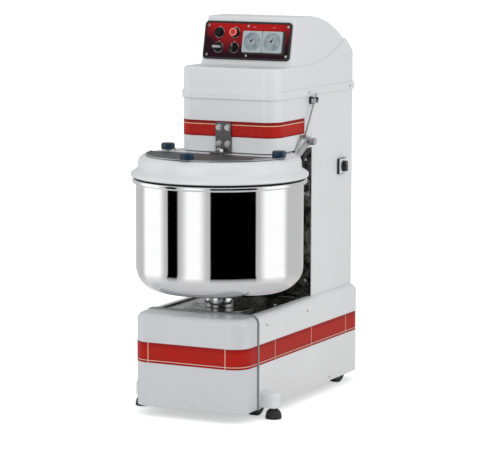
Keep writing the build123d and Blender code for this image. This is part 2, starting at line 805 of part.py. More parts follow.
with BuildPart() as bowl:
    with BuildSketch(Plane.XZ):
        with BuildLine():
            Line((0, BOWL_BOTTOM), (BOWL_RADIUS - BOWL_CORNER, BOWL_BOTTOM))
            CenterArc((BOWL_RADIUS - BOWL_CORNER, BOWL_BOTTOM + BOWL_CORNER), BOWL_CORNER, 270, 90)
            Polyline(
                (BOWL_RADIUS, BOWL_BOTTOM + BOWL_CORNER),
                (BOWL_RADIUS, RIM_CENTRE),
                (BOWL_RADIUS - BOWL_WALL, RIM_CENTRE),
                (BOWL_RADIUS - BOWL_WALL, BOWL_BOTTOM + BOWL_CORNER),
            )
            CenterArc(
                (BOWL_RADIUS - BOWL_CORNER, BOWL_BOTTOM + BOWL_CORNER),
                BOWL_CORNER - BOWL_WALL,
                0,
                -90,
            )
            Polyline(
                (BOWL_RADIUS - BOWL_CORNER, BOWL_BOTTOM + BOWL_WALL),
                (0, BOWL_BOTTOM + BOWL_WALL),
                (0, BOWL_BOTTOM),
            )
        make_face()
        with Locations((BOWL_RADIUS + 3, RIM_CENTRE)):
            Circle(RIM_RADIUS)
    revolve(axis=Axis.Z)
save(bowl, "bowl")

with BuildPart() as bowl_hub:
    add(disc(HUB_FLANGE_RADIUS, BOWL_BOTTOM - 9, BOWL_BOTTOM - FIT))
    add(disc(HUB_RADIUS, DECK_TOP + 9, BOWL_BOTTOM - 9))
    add(disc(HUB_SHAFT_RADIUS, BOWL_BELT_LEVEL - 10, DECK_TOP + 9))
save(bowl_hub, "bowl_hub")

with BuildPart() as bowl_bearing_housing:
    add(disc(58, BOWL_HOUSING_BOTTOM, DECK_TOP + FIT))
    add(disc(HOUSING_FLANGE_RADIUS, DECK_TOP + FIT, DECK_TOP + 8))
    rim = bowl_bearing_housing.edges().filter_by(GeomType.CIRCLE).group_by(Axis.Z)[-1]
    fillet(rim, 3)
    add(
        disc(HUB_SHAFT_RADIUS + RUNNING_FIT, BOWL_HOUSING_BOTTOM - 1, DECK_TOP + 20),
        mode=Mode.SUBTRACT,
    )
save(bowl_bearing_housing, "bowl_bearing_housing")


def pulley(radius, bore, level, belts, x=0, y=0):
    """Grooved wheel, one flat groove for each belt, bored for its shaft."""
    with BuildPart() as wheel:
        add(disc(radius + 4, level - 5, level + belts * (BELT_WIDTH + 4) + 1, x, y))
        for belt in range(belts):
            bottom = level + belt * (BELT_WIDTH + 4)
            groove = disc(radius + 5, bottom - FIT, bottom + BELT_WIDTH + FIT, x, y)
            groove -= disc(radius, bottom - 1, bottom + BELT_WIDTH + 1, x, y)
            add(groove, mode=Mode.SUBTRACT)
        add(disc(bore, level - 20, level + 80, x, y), mode=Mode.SUBTRACT)
    return wheel


def belt_outline(big_radius, big_y, small_radius, small_y, growth):
    """Area inside a line stretched round two circles, each grown by growth."""
    with BuildSketch() as outline:
        with Locations((0, big_y)):
            Circle(big_radius + growth)
        with Locations((0, small_y)):
            Circle(small_radius + growth)
        make_hull()
    return outline.sketch


def belt_loop(big_radius, big_y, small_radius, small_y, level):
    """Closed belt round two pulleys that lie one behind the other."""
    circles = (big_radius, big_y, small_radius, small_y)
    with BuildPart() as loop:
        with BuildSketch(Plane.XY.offset(level)):
            add(belt_outline(*circles, BELT_THICKNESS))
            add(belt_outline(*circles, FIT), mode=Mode.SUBTRACT)
        extrude(amount=BELT_WIDTH)
    return loop.part


bowl_pulley = pulley(BOWL_PULLEY_RADIUS, HUB_SHAFT_RADIUS, BOWL_BELT_LEVEL, 1)
save(bowl_pulley, "bowl_pulley")

with BuildPart() as bowl_belt:
    add(
        belt_loop(
            BOWL_PULLEY_RADIUS,
            0,
            BOWL_MOTOR_PULLEY_RADIUS,
            BOWL_MOTOR_Y,
            BOWL_BELT_LEVEL,
        )
    )
save(bowl_belt, "bowl_belt")


def motor_pulley(radius, y, level, belts, shaft_bottom, shaft_top):
    """Small pulley in one piece with its motor shaft."""
    with BuildPart() as wheel:
        add(pulley(radius, 1, level, belts, 0, y).part)
        add(disc(12, shaft_bottom, shaft_top, 0, y))
    return wheel


bowl_motor_pulley = motor_pulley(
    BOWL_MOTOR_PULLEY_RADIUS, BOWL_MOTOR_Y, BOWL_BELT_LEVEL, 1, 170, 240
)
save(bowl_motor_pulley, "bowl_motor_pulley")


def motor(radius, y, bottom, top, shaft_bottom, shaft_top):
    """Round motor body with cooling fins and a bore for its shaft."""
    with BuildPart() as body:
        add(disc(radius - 6, bottom, top, 0, y))
        add(disc(radius, bottom, bottom + 12, 0, y))
        add(disc(radius, top - 12, top, 0, y))
        with BuildSketch(Plane.XY.offset(bottom + 12)):
            with Locations((0, y)):
                with PolarLocations(radius - 5, 24):
                    Rectangle(10, 3)
        extrude(amount=top - bottom - 24)
        add(disc(12 + RUNNING_FIT, shaft_bottom, shaft_top, 0, y), mode=Mode.SUBTRACT)
    return body


bowl_motor = motor(70, BOWL_MOTOR_Y, 206, BEARER_BOTTOM - FIT, 200, 240.5)
save(bowl_motor, "bowl_motor")

# ---- Bowl guide rollers --------------------------------------------------------------------
ROLLER_RADIUS = math.hypot(ROLLER_X, ROLLER_Y) - BOWL_RADIUS - 0.1


def guide_roller(side):
    """Roller that steadies the bowl's wall."""
    x = side * ROLLER_X
    with BuildPart() as roller:
        add(disc(ROLLER_RADIUS, ROLLER_LEVEL, ROLLER_LEVEL + ROLLER_WIDTH, x, ROLLER_Y))
        fillet(roller.edges().filter_by(GeomType.CIRCLE), 2)
        add(
            disc(ROLLER_PIN_RADIUS + RUNNING_FIT, ROLLER_LEVEL - 5, ROLLER_LEVEL + 40, x, ROLLER_Y),
            mode=Mode.SUBTRACT,
        )
    return roller


left_guide_roller = guide_roller(-1)
save(left_guide_roller, "left_guide_roller")
right_guide_roller = guide_roller(1)
save(right_guide_roller, "right_guide_roller")

with BuildPart() as roller_brackets:
    for side in (-1, 1):
        x = side * ROLLER_X
        foot = sorted((side * 128, side * 172))
        arm_levels = (ROLLER_LEVEL - 8, ROLLER_LEVEL + ROLLER_WIDTH + 2)
        add(
            block(
                foot,
                (COLUMN_FRONT - 6, COLUMN_FRONT - FIT),
                (ROLLER_LEVEL - 16, ROLLER_LEVEL + ROLLER_WIDTH + 16),
            )
        )
        for level in arm_levels:
            add(block((x - 14, x + 14), (ROLLER_Y, COLUMN_FRONT - 6), (level, level + 6)))
            add(disc(14, level, level + 6, x, ROLLER_Y))
        add(disc(ROLLER_PIN_RADIUS, arm_levels[0] - 4, arm_levels[1] + 10, x, ROLLER_Y))
save(roller_brackets, "roller_brackets")

# ---- Spiral, its bearing and drive ---------------------------------------------------------
SPIRAL_BOTTOM = 448
SPIRAL_PITCH = 300
SPIRAL_NECK = 790
SPIRAL_NECK_RADIUS = 32


def spiral_bar():
    """Round bar wound once about its own shaft, drawn with the shaft at x 0, y 0."""
    with BuildPart() as bar:
        with BuildLine(Plane.XY.offset(SPIRAL_BOTTOM)):
            coil = Helix(SPIRAL_PITCH, SPIRAL_PITCH, SPIRAL_RADIUS)
        with BuildSketch(Plane(origin=coil @ 0, z_dir=coil % 0)):
            Circle(SPIRAL_BAR)
        sweep(path=coil, is_frenet=True)
        for level in (SPIRAL_BOTTOM, SPIRAL_BOTTOM + SPIRAL_PITCH):
            with Locations((SPIRAL_RADIUS, 0, level)):
                Sphere(SPIRAL_KNUCKLE)
            add(cross_rod(SPIRAL_BAR + 1, 0, SPIRAL_RADIUS, 0, level))
        with Locations((0, 0, SPIRAL_BOTTOM)):
            Sphere(SPIRAL_BAR + 1)
        add(disc(SPIRAL_NECK_RADIUS, SPIRAL_BOTTOM + SPIRAL_PITCH - 20, SPIRAL_NECK))
        add(disc(SPIRAL_SHAFT_RADIUS, SPIRAL_NECK, SPIRAL_BELT_LEVELS[1] + 24))
    return bar.part


with BuildPart() as spiral_hook:
    add(spiral_bar().moved(Location((0, SPIRAL_Y, 0))))
save(spiral_hook, "spiral_hook")

with BuildPart() as spiral_bearing_housing:
    add(disc(SPIRAL_HOUSING_RADIUS, HEAD_BOTTOM + 7, BEARING_PLATE_TOP + FIT, 0, SPIRAL_Y))
    add(disc(SPIRAL_FLANGE_RADIUS, BEARING_PLATE_TOP + FIT, BEARING_PLATE_TOP + 12, 0, SPIRAL_Y))
    add(disc(SPIRAL_SEAT_RADIUS, BEARING_PLATE_TOP + 12, BEARING_PLATE_TOP + 30, 0, SPIRAL_Y))
    add(
        disc(SPIRAL_SHAFT_RADIUS + RUNNING_FIT, HEAD_BOTTOM, BEARING_PLATE_TOP + 40, 0, SPIRAL_Y),
        mode=Mode.SUBTRACT,
    )
save(spiral_bearing_housing, "spiral_bearing_housing")

spiral_pulley = pulley(
    SPIRAL_PULLEY_RADIUS, SPIRAL_SHAFT_RADIUS, SPIRAL_BELT_LEVELS[0], 2, 0, SPIRAL_Y
)
save(spiral_pulley, "spiral_pulley")

spiral_motor_pulley = motor_pulley(
    SPIRAL_MOTOR_PULLEY_RADIUS, SPIRAL_MOTOR_Y, SPIRAL_BELT_LEVELS[0], 2, 840, 1005
)
save(spiral_motor_pulley, "spiral_motor_pulley")

with BuildPart() as spiral_belts:
    for level in SPIRAL_BELT_LEVELS:
        add(
            belt_loop(
                SPIRAL_PULLEY_RADIUS,
                SPIRAL_Y,
                SPIRAL_MOTOR_PULLEY_RADIUS,
                SPIRAL_MOTOR_Y,
                level,
            )
        )
save(spiral_belts, "spiral_belts")

spiral_motor = motor(85, SPIRAL_MOTOR_Y, 640, BEARING_PLATE_BOTTOM - FIT, 839, 910)
save(spiral_motor, "spiral_motor")

# ---- Breaker bar and its bracket -----------------------------------------------------------
BRACKET_HALF = 28.25
BRACKET_FACE = HEAD_FRONT - BAND_PROUD - FIT
BRACKET_THICKNESS = 6
BRACKET_TOP = HEAD_BOTTOM + 100
SHELF_BOTTOM = LID_TOP + 1

with BuildPart() as breaker_bar_bracket:
    x_range = (BRACKET_X - BRACKET_HALF, BRACKET_X + BRACKET_HALF)
    upright = (BRACKET_FACE - BRACKET_THICKNESS, BRACKET_FACE)
    shelf = (BAR_Y - 22, BRACKET_FACE)
    add(block(x_range, upright, (SHELF_BOTTOM, BRACKET_TOP)))
    add(block(x_range, shelf, (SHELF_BOTTOM, SHELF_BOTTOM + BRACKET_THICKNESS)))
    fillet(breaker_bar_bracket.edges().filter_by(Axis.Y).group_by(Axis.Z)[-1], 5)
    fillet(breaker_bar_bracket.edges().filter_by(Axis.Z).group_by(Axis.Y)[0], 8)
    add(disc(8 + FIT, SHELF_BOTTOM - 5, SHELF_BOTTOM + 20, BAR_X, BAR_Y), mode=Mode.SUBTRACT)
    add(bolt_holes(BRACKET_BOLTS, BOLT_RADIUS + FIT, 60, 30), mode=Mode.SUBTRACT)
save(breaker_bar_bracket, "breaker_bar_bracket")

with BuildPart() as bracket_bolts:
    head_face = BRACKET_FACE - BRACKET_THICKNESS
    for point in BRACKET_BOLTS:
        add(bolt_holes([point], BOLT_RADIUS, HEAD_FRONT + 12, head_face))
        with BuildSketch(Plane.XZ.offset(-head_face)):
            with Locations(point):
                RegularPolygon(9.5, 6)
        extrude(amount=7)
save(bracket_bolts, "bracket_bolts")

with BuildPart() as breaker_bar:
    add(disc(BAR_RADIUS, 412, SHELF_BOTTOM - FIT, BAR_X, BAR_Y))
    fillet(breaker_bar.edges().filter_by(GeomType.CIRCLE).group_by(Axis.Z)[0], 10)
    add(disc(8, SHELF_BOTTOM - FIT, SHELF_BOTTOM + 18, BAR_X, BAR_Y))
    with BuildSketch(Plane.XY.offset(SHELF_BOTTOM + BRACKET_THICKNESS + FIT)):
        with Locations((BAR_X, BAR_Y)):
            RegularPolygon(14, 6)
    extrude(amount=9)
save(breaker_bar, "breaker_bar")

# ---- Lid -----------------------------------------------------------------------------------
ARM_INNER_X = 181.5
ARM_THICKNESS = 4
PLATE_RADIUS = 244
KNOB_RADIUS = 24
KNOB_HEIGHT = 28
KNOBS = ((0, -235), (232, -38), (-209, 30))


def lid_hollow():
    """The space under the lifting part of the cover."""
    with BuildPart() as body:
        add(dome_hollow())
        add(head_gap(LID_WING_X + LID_WALL, LID_BACK_Y - LID_WALL), mode=Mode.SUBTRACT)
    return body.part


with BuildPart() as lid_shell:
    add(dome())
    add(head_gap(LID_WING_X, LID_BACK_Y), mode=Mode.SUBTRACT)
    add(lid_hollow(), mode=Mode.SUBTRACT)
    for knob in KNOBS:
        add(disc(4 + FIT, LID_TOP - 20, LID_TOP + 5, *knob), mode=Mode.SUBTRACT)
save(lid_shell, "lid_shell")

with BuildPart() as lid_seal:
    add(disc(285, LID_BOTTOM - 3.5, LID_BOTTOM - FIT))
    add(disc(266, LID_BOTTOM - 5, LID_BOTTOM + 1), mode=Mode.SUBTRACT)
    add(head_gap(LID_WING_X + 2, LID_BACK_Y - 2), mode=Mode.SUBTRACT)
save(lid_seal, "lid_seal")

with BuildPart() as lid_guard_plate:
    add(disc(PLATE_RADIUS, LID_TOP + FIT, LID_TOP + 2.3))
    add(block((-300, 300), (LID_BACK_Y, 300), (LID_TOP - 5, LID_TOP + 10)), mode=Mode.SUBTRACT)
    for knob in KNOBS[:2]:
        add(disc(4 + FIT, LID_TOP - 20, LID_TOP + 5, *knob), mode=Mode.SUBTRACT)
save(lid_guard_plate, "lid_guard_plate")

with BuildPart() as lid_knobs:
    for knob in KNOBS:
        add(disc(4, LID_TOP - 12, LID_TOP + 4, *knob))
        add(disc(12, LID_TOP + 3, LID_TOP + 5, *knob))
        add(disc(KNOB_RADIUS, LID_TOP + 5, LID_TOP + KNOB_HEIGHT, *knob))
    crowns = lid_knobs.edges().filter_by(GeomType.CIRCLE).group_by(Axis.Z)[-1]
    fillet(crowns, 5)
save(lid_knobs, "lid_knobs")


def link(start, end, width):
    """Flat bar with round ends between two points of a sketch."""
    length = math.dist(start, end)
    angle = math.degrees(math.atan2(end[1] - start[1], end[0] - start[0]))
    with BuildSketch() as bar:
        with Locations(((start[0] + end[0]) / 2, (start[1] + end[1]) / 2)):
            SlotCenterToCenter(length, width, rotation=angle)
    return bar.sketch


def lid_arm(side):
    """Flat arm from a wing of the lid back to its pivot, with a branch to the stay rod's pin."""
    near = side * ARM_INNER_X
    far = side * (ARM_INNER_X + ARM_THICKNESS)
    root = (185, LID_TOP - 28)
    with BuildPart() as arm:
        with BuildSketch(Plane.YZ.offset(min(near, far))):
            add(link((100, LID_TOP - 28), root, 22))
            add(link(root, (PIVOT_Y, PIVOT_Z), 22))
            if side > 0:
                add(link((178, LID_TOP - 20), STAY_PIN, 12))
            with Locations((PIVOT_Y, PIVOT_Z)):
                Circle(15)
                Circle(PIVOT_RADIUS + RUNNING_FIT, mode=Mode.SUBTRACT)
        extrude(amount=ARM_THICKNESS)
    return arm.part


with BuildPart() as lid_arms:
    add(lid_arm(1))
    add(lid_arm(-1))
    add(cross_rod(STAY_PIN_RADIUS, ARM_INNER_X + ARM_THICKNESS, STAY_X + 7, *STAY_PIN))
save(lid_arms, "lid_arms")

with BuildPart() as lid_pivots:
    for side in (-1, 1):
        inner = sorted((side * (COLUMN_HALF_WIDTH + FIT), side * (ARM_INNER_X + ARM_THICKNESS + 1)))
        outer = sorted((side * (ARM_INNER_X + ARM_THICKNESS + 1), side * PIVOT_CAP_END))
        add(cross_rod(PIVOT_RADIUS, *inner, PIVOT_Y, PIVOT_Z))
        add(cross_rod(PIVOT_CAP_RADIUS, *outer, PIVOT_Y, PIVOT_Z))
save(lid_pivots, "lid_pivots")

stay_angle = math.degrees(math.atan2(STAY_CLAMP[1] - STAY_PIN[1], STAY_CLAMP[0] - STAY_PIN[0]))
stay_plane = Plane(
    origin=(STAY_X, *STAY_PIN),
    x_dir=(1, 0, 0),
    z_dir=(0, math.cos(math.radians(stay_angle)), math.sin(math.radians(stay_angle))),
)

with BuildPart() as stay_rod:
    add(cross_rod(8, STAY_X - 4, STAY_X + 4, *STAY_PIN))
    with BuildSketch(stay_plane.offset(3)):
        Circle(STAY_RADIUS)
    extrude(amount=162)
    add(
        cross_rod(STAY_PIN_RADIUS + RUNNING_FIT, STAY_X - 10, STAY_X + 10, *STAY_PIN),
        mode=Mode.SUBTRACT,
    )
save(stay_rod, "stay_rod")

with BuildPart() as stay_clamp:
    add(
        block(
            (COLUMN_HALF_WIDTH + FIT, STAY_X + 10),
            (STAY_CLAMP[0] - 12, STAY_CLAMP[0] + 12),
            (STAY_CLAMP[1] - 13, STAY_CLAMP[1] + 11),
        )
    )
    fillet(stay_clamp.edges().filter_by(Axis.X), 5)
    with BuildSketch(stay_plane.offset(100)):
        Circle(STAY_RADIUS + STAY_SWAY)
    extrude(amount=80, mode=Mode.SUBTRACT)
save(stay_clamp, "stay_clamp")

# ---- Control panel -------------------------------------------------------------------------
GASKET_THICKNESS = 3
PANEL_BACK = 1.0
PANEL_FRONT = PANEL_BACK + PANEL_SHEET


def control_points():
    """Centres of the four controls on the panel."""
    return [(x, y) for x in CONTROL_COLUMNS for y in CONTROL_ROWS]


with BuildPart() as control_panel_gasket:
    with BuildSketch(face_plane(FIT)):
        with Locations((PANEL_X, 0)):
            RectangleRounded(PANEL_WIDTH, PANEL_HEIGHT, 14)
            RectangleRounded(PANEL_WIDTH - 13, PANEL_HEIGHT - 13, 8, mode=Mode.SUBTRACT)
    extrude(amount=GASKET_THICKNESS + 2)
save(control_panel_gasket, "control_panel_gasket")

with BuildPart() as control_panel:
    with BuildSketch(face_plane(PANEL_BACK)):
        with Locations((PANEL_X, 0)):
            RectangleRounded(PANEL_WIDTH - 14, PANEL_HEIGHT - 14, 7.5)
            with Locations(*PANEL_SCREWS):
                Circle(SHANK_RADIUS + FIT, mode=Mode.SUBTRACT)
        with Locations(*control_points()):
            Circle(BARREL_RADIUS + FIT, mode=Mode.SUBTRACT)
        with Locations(*[(x, TIMER_ROW) for x in TIMER_COLUMNS]):
            Rectangle(TIMER_SIZE - 8, TIMER_SIZE - 8, mode=Mode.SUBTRACT)
    extrude(amount=PANEL_SHEET)
save(control_panel, "control_panel")

RING_HEIGHT = 5

with BuildPart() as control_bezels:
    with BuildSketch(face_plane(PANEL_FRONT + FIT)):
        with Locations(*control_points()):
            Circle(CONTROL_RADIUS)
    extrude(amount=RING_HEIGHT)
    with BuildSketch(face_plane(PANEL_FRONT + FIT + 1)):
        with Locations(*control_points()):
            Circle(CAP_RADIUS + FIT)
    extrude(amount=RING_HEIGHT, mode=Mode.SUBTRACT)
    with BuildSketch(face_plane(PANEL_FRONT + FIT + 1)):
        with Locations(*control_points()):
            Circle(BARREL_RADIUS)
    extrude(amount=-34)
    with BuildSketch(face_plane(PANEL_FRONT + FIT + 2)):
        with Locations(*control_points()):
            Circle(STEM_RADIUS + FIT)
    extrude(amount=-40, mode=Mode.SUBTRACT)
save(control_bezels, "control_bezels")

CAP_BOTTOM = PANEL_FRONT + 6.5


def push_button(column, row, cap_height):
    """Round cap on a stem that slides in its bezel."""
    with BuildPart() as button:
        with BuildSketch(face_plane(CAP_BOTTOM)):
            with Locations((column, row)):
                Circle(CAP_RADIUS)
        extrude(amount=cap_height)
        rims = button.edges().filter_by(GeomType.CIRCLE)
        fillet(rims.sort_by(Axis(face_plane(0).origin, face_plane(0).z_dir))[-1], 1.5)
        with BuildSketch(face_plane(CAP_BOTTOM)):
            with Locations((column, row)):
                Circle(STEM_RADIUS)
        extrude(amount=-26)
    return button


start_button = push_button(CONTROL_COLUMNS[0], CONTROL_ROWS[0], 9)
save(start_button, "start_button")
stop_button = push_button(CONTROL_COLUMNS[1], CONTROL_ROWS[0], 16)
save(stop_button, "stop_button")


def selector(column, row, grip_angle):
    """Turning knob with a raised grip on a stem in its bezel."""
    with BuildPart() as knob:
        with BuildSketch(face_plane(PANEL_FRONT + 2.5)):
            with Locations((column, row)):
                Circle(CAP_RADIUS)
        extrude(amount=7)
        with BuildSketch(face_plane(PANEL_FRONT + 9.5)):
            with Locations((column, row)):
                with Locations(Location((0, 0, 0), (0, 0, grip_angle))):
                    SlotOverall(30, 8)
        extrude(amount=11)
        with BuildSketch(face_plane(PANEL_FRONT + 2.5)):
            with Locations((column, row)):
                Circle(STEM_RADIUS)
        extrude(amount=-24)
    return knob


speed_selector = selector(CONTROL_COLUMNS[0], CONTROL_ROWS[1], 0)
save(speed_selector, "speed_selector")
bowl_selector = selector(CONTROL_COLUMNS[1], CONTROL_ROWS[1], 90)
save(bowl_selector, "bowl_selector")

TIMER_SHAFT_RADIUS = 3

with BuildPart() as timer_bodies:
    timer_points = [(x, TIMER_ROW) for x in TIMER_COLUMNS]
    with BuildSketch(face_plane(PANEL_FRONT + FIT)):
        with Locations(*timer_points):
            RectangleRounded(TIMER_SIZE, TIMER_SIZE, 4)
    extrude(amount=TIMER_DEPTH)
    with BuildSketch(face_plane(PANEL_FRONT + FIT + TIMER_DEPTH)):
        with Locations(*timer_points):
            Circle(31)
    extrude(amount=-2, mode=Mode.SUBTRACT)
    with BuildSketch(face_plane(PANEL_FRONT + FIT)):
        with Locations(*timer_points):
            Rectangle(TIMER_SIZE - 9, TIMER_SIZE - 9)
    extrude(amount=-40)
    with BuildSketch(face_plane(PANEL_FRONT + FIT + TIMER_DEPTH)):
        with Locations(*timer_points):
            Circle(TIMER_SHAFT_RADIUS + RUNNING_FIT)
    extrude(amount=-20, mode=Mode.SUBTRACT)
save(timer_bodies, "timer_bodies")


def timer_knob(column):
    """Pointer knob in the middle of a timer's dial."""
    dial_face = PANEL_FRONT + FIT + TIMER_DEPTH - 2
    with BuildPart() as knob:
        with BuildSketch(face_plane(dial_face + 1)):
            with Locations((column, TIMER_ROW)):
                Circle(10)
                with Locations((0, 7)):
                    Rectangle(4, 26)
        extrude(amount=3)
        with BuildSketch(face_plane(dial_face + 4)):
            with Locations((column, TIMER_ROW)):
                Circle(8)
        extrude(amount=7)
        with BuildSketch(face_plane(dial_face + 1)):
            with Locations((column, TIMER_ROW)):
                Circle(TIMER_SHAFT_RADIUS)
        extrude(amount=-14)
    return knob


left_timer_knob = timer_knob(TIMER_COLUMNS[0])
save(left_timer_knob, "left_timer_knob")
right_timer_knob = timer_knob(TIMER_COLUMNS[1])
save(right_timer_knob, "right_timer_knob")

# ---- Mains switch, electrical box and cable gland ------------------------------------------
SWITCH_Y = 565
SWITCH_Z = 758
SWITCH_HALF_LENGTH = 30
SWITCH_HALF_HEIGHT = 27
SWITCH_BACK = COLUMN_HALF_WIDTH + FIT
SWITCH_FACE = 188.5
SWITCH_SHAFT_RADIUS = 5
SWITCH_SHAFT_END = 183
SWITCH_SKIRT_TOP = SWITCH_FACE + 5
SWITCH_GRIP_TOP = SWITCH_FACE + 14

with BuildPart() as mains_switch_body:
    add(
        block(
            (SWITCH_BACK, SWITCH_FACE),
            (SWITCH_Y - SWITCH_HALF_LENGTH, SWITCH_Y + SWITCH_HALF_LENGTH),
            (SWITCH_Z - SWITCH_HALF_HEIGHT, SWITCH_Z + SWITCH_HALF_HEIGHT),
        )
    )
    fillet(mains_switch_body.edges().filter_by(Axis.X), 3)
    add(
        cross_rod(
            SWITCH_SHAFT_RADIUS + RUNNING_FIT,
            SWITCH_SHAFT_END - 1,
            SWITCH_FACE + 1,
            SWITCH_Y,
            SWITCH_Z,
        ),
        mode=Mode.SUBTRACT,
    )
save(mains_switch_body, "mains_switch_body")

with BuildPart() as mains_switch_knob:
    add(cross_rod(19, SWITCH_FACE + FIT, SWITCH_SKIRT_TOP, SWITCH_Y, SWITCH_Z))
    add(
        block(
            (SWITCH_SKIRT_TOP, SWITCH_GRIP_TOP),
            (SWITCH_Y - 9, SWITCH_Y + 9),
            (SWITCH_Z - 18, SWITCH_Z + 18),
        )
    )
    add(cross_rod(SWITCH_SHAFT_RADIUS, SWITCH_SHAFT_END, SWITCH_FACE + FIT, SWITCH_Y, SWITCH_Z))
save(mains_switch_knob, "mains_switch_knob")

with BuildPart() as electrical_box:
    add(block((-110, 110), (590, 655), (620, 880)))
    fillet(electrical_box.edges().filter_by(Axis.Z), 6)
save(electrical_box, "electrical_box")

GLAND_Z = 420

with BuildPart() as cable_gland:
    with BuildSketch(Plane.XZ.offset(-COLUMN_REAR - FIT)):
        with Locations((-120, GLAND_Z)):
            RegularPolygon(15, 6)
    extrude(amount=-8)
    with BuildSketch(Plane.XZ.offset(-COLUMN_REAR - 8)):
        with Locations((-120, GLAND_Z)):
            Circle(11)
    extrude(amount=-12)
save(cable_gland, "cable_gland")

# ---- Button-head screws --------------------------------------------------------------------
HEAD_HEIGHT = 2.6
SHANK_LENGTH = 10


def screw(place):
    """Button-head screw, its head's underside on the plane given and its shank behind it."""
    with BuildPart() as piece:
        with BuildSketch(place):
            Circle(SCREW_RADIUS)
        extrude(amount=HEAD_HEIGHT)
        with BuildSketch(place):
            Circle(SHANK_RADIUS)
        extrude(amount=-SHANK_LENGTH)
    return piece.part


def side_plane(side, x, y, z):
    """Plane on a side wall, facing outward."""
    return Plane(origin=(side * x, y, z), x_dir=(0, side, 0), z_dir=(side, 0, 0))


with BuildPart() as cover_screws:
    for side in (-1, 1):
        for y, z in BASE_SCREWS:
            add(screw(side_plane(side, BASE_HALF_WIDTH + FIT, y, z)))
        for y, z in HOOD_SCREWS:
            add(screw(side_plane(side, COLUMN_HALF_WIDTH + LIP_PROUD + FIT, y, z)))
    for x, z in COLUMN_FRONT_SCREWS:
        front = Plane(origin=(x, COLUMN_FRONT - FIT, z), x_dir=(1, 0, 0), z_dir=(0, -1, 0))
        add(screw(front))
    for x in (-131, 131):
        for y in (147, -90):
            add(screw(Plane.XY.offset(DECK_TOP + FIT).move(Location((x, y, 0)))))
    for x, y in PANEL_SCREWS:
        panel_front = face_plane(PANEL_FRONT + FIT)
        panel_front.origin = panel_front.from_local_coords((x + PANEL_X, y, 0))
        add(screw(panel_front))
save(cover_screws, "cover_screws")
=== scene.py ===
import json
import math

import bmesh
import bpy
from mathutils import Euler, Matrix, Vector


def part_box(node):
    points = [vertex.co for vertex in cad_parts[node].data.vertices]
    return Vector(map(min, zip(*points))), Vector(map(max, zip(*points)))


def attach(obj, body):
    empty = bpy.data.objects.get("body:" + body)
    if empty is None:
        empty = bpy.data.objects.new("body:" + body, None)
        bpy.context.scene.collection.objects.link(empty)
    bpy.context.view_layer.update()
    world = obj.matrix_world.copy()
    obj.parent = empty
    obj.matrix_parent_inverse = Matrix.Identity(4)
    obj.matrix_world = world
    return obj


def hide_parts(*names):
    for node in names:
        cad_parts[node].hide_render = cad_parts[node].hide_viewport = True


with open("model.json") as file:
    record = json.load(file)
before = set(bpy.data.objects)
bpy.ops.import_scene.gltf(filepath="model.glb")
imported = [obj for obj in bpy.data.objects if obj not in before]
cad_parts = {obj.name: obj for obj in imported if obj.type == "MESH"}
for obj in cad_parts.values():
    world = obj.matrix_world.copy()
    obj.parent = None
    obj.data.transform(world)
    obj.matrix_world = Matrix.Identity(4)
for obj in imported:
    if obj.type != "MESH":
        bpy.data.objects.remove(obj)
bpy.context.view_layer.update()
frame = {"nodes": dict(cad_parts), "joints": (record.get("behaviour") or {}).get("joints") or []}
NODES = frame["nodes"]
JOINTS = {joint["name"]: joint for joint in frame["joints"]}

# Shaders, stage and camera are in metres, as the frame is. Pieces are drawn in millimetres and
# scaled by MM where their vertices are made.
MM = 0.001

# Directions of the console's sloping face: across it, up it and straight out of it.
ACROSS = Vector((1, 0, 0))
OUT = -Vector(JOINTS["start_press"]["axis"]).normalized()
UP_FACE = OUT.cross(ACROSS)
FACE = Matrix((ACROSS, UP_FACE, OUT)).transposed().to_4x4()
FORWARD = Vector((0, -1, 0))
UPWARD = Vector((0, 0, 1))


# ---- Reading places from the frame, in millimetres -----------------------------------------
def box(node):
    """Lowest and highest corner of a CAD node's box."""
    low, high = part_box(node)
    return low / MM, high / MM


def middle(node):
    """Middle of a CAD node's box."""
    low, high = box(node)
    return (low + high) / 2


def corners(node):
    """All vertices of a CAD node."""
    return [vertex.co / MM for vertex in NODES[node].data.vertices]


def span(node, direction):
    """Lowest and highest reach of a CAD node along a direction."""
    reach = [corner.dot(direction) for corner in corners(node)]
    return min(reach), max(reach)


def face_place(node):
    """A control's place on the console face: across, up the face, and how far it stands out."""
    return sum(span(node, ACROSS)) / 2, sum(span(node, UP_FACE)) / 2, span(node, OUT)[1]


BOWL_AXIS = middle("bowl") * MM
PANEL_OUT = span("control_panel", OUT)[1]


# ---- Shader building blocks ----------------------------------------------------------------
# Every material by the name it is started with.
MATERIALS = {}


def start_material(name, color, roughness, metallic=0.0, specular=0.5):
    """New material with one principled shader; returns its node tree and the shader."""
    material = bpy.data.materials.new(name)
    MATERIALS[name] = material
    material.use_nodes = True
    tree = material.node_tree
    shader = tree.nodes["Principled BSDF"]
    shader.inputs["Base Color"].default_value = (*color, 1)
    shader.inputs["Roughness"].default_value = roughness
    shader.inputs["Metallic"].default_value = metallic
    shader.inputs["Specular IOR Level"].default_value = specular
    return tree, shader


def drive(shader, name, value):
    """Let a socket drive one of a shader's inputs."""
    shader.id_data.links.new(value, shader.inputs[name])


def place_coords(tree, stretch=(1, 1, 1)):
    """Coordinates in metres in the object's own frame, stretched per axis."""
    coords = tree.nodes.new("ShaderNodeTexCoord")
    mapping = tree.nodes.new("ShaderNodeMapping")
    mapping.inputs["Scale"].default_value = stretch
    tree.links.new(coords.outputs["Object"], mapping.inputs["Vector"])
    return mapping.outputs["Vector"]


def split_place(tree, kind="Object"):
    """Texture coordinates, by default the object's own, as three sockets x, y and z."""
    coords = tree.nodes.new("ShaderNodeTexCoord")
    axes = tree.nodes.new("ShaderNodeSeparateXYZ")
    tree.links.new(coords.outputs[kind], axes.inputs["Vector"])
    return axes.outputs


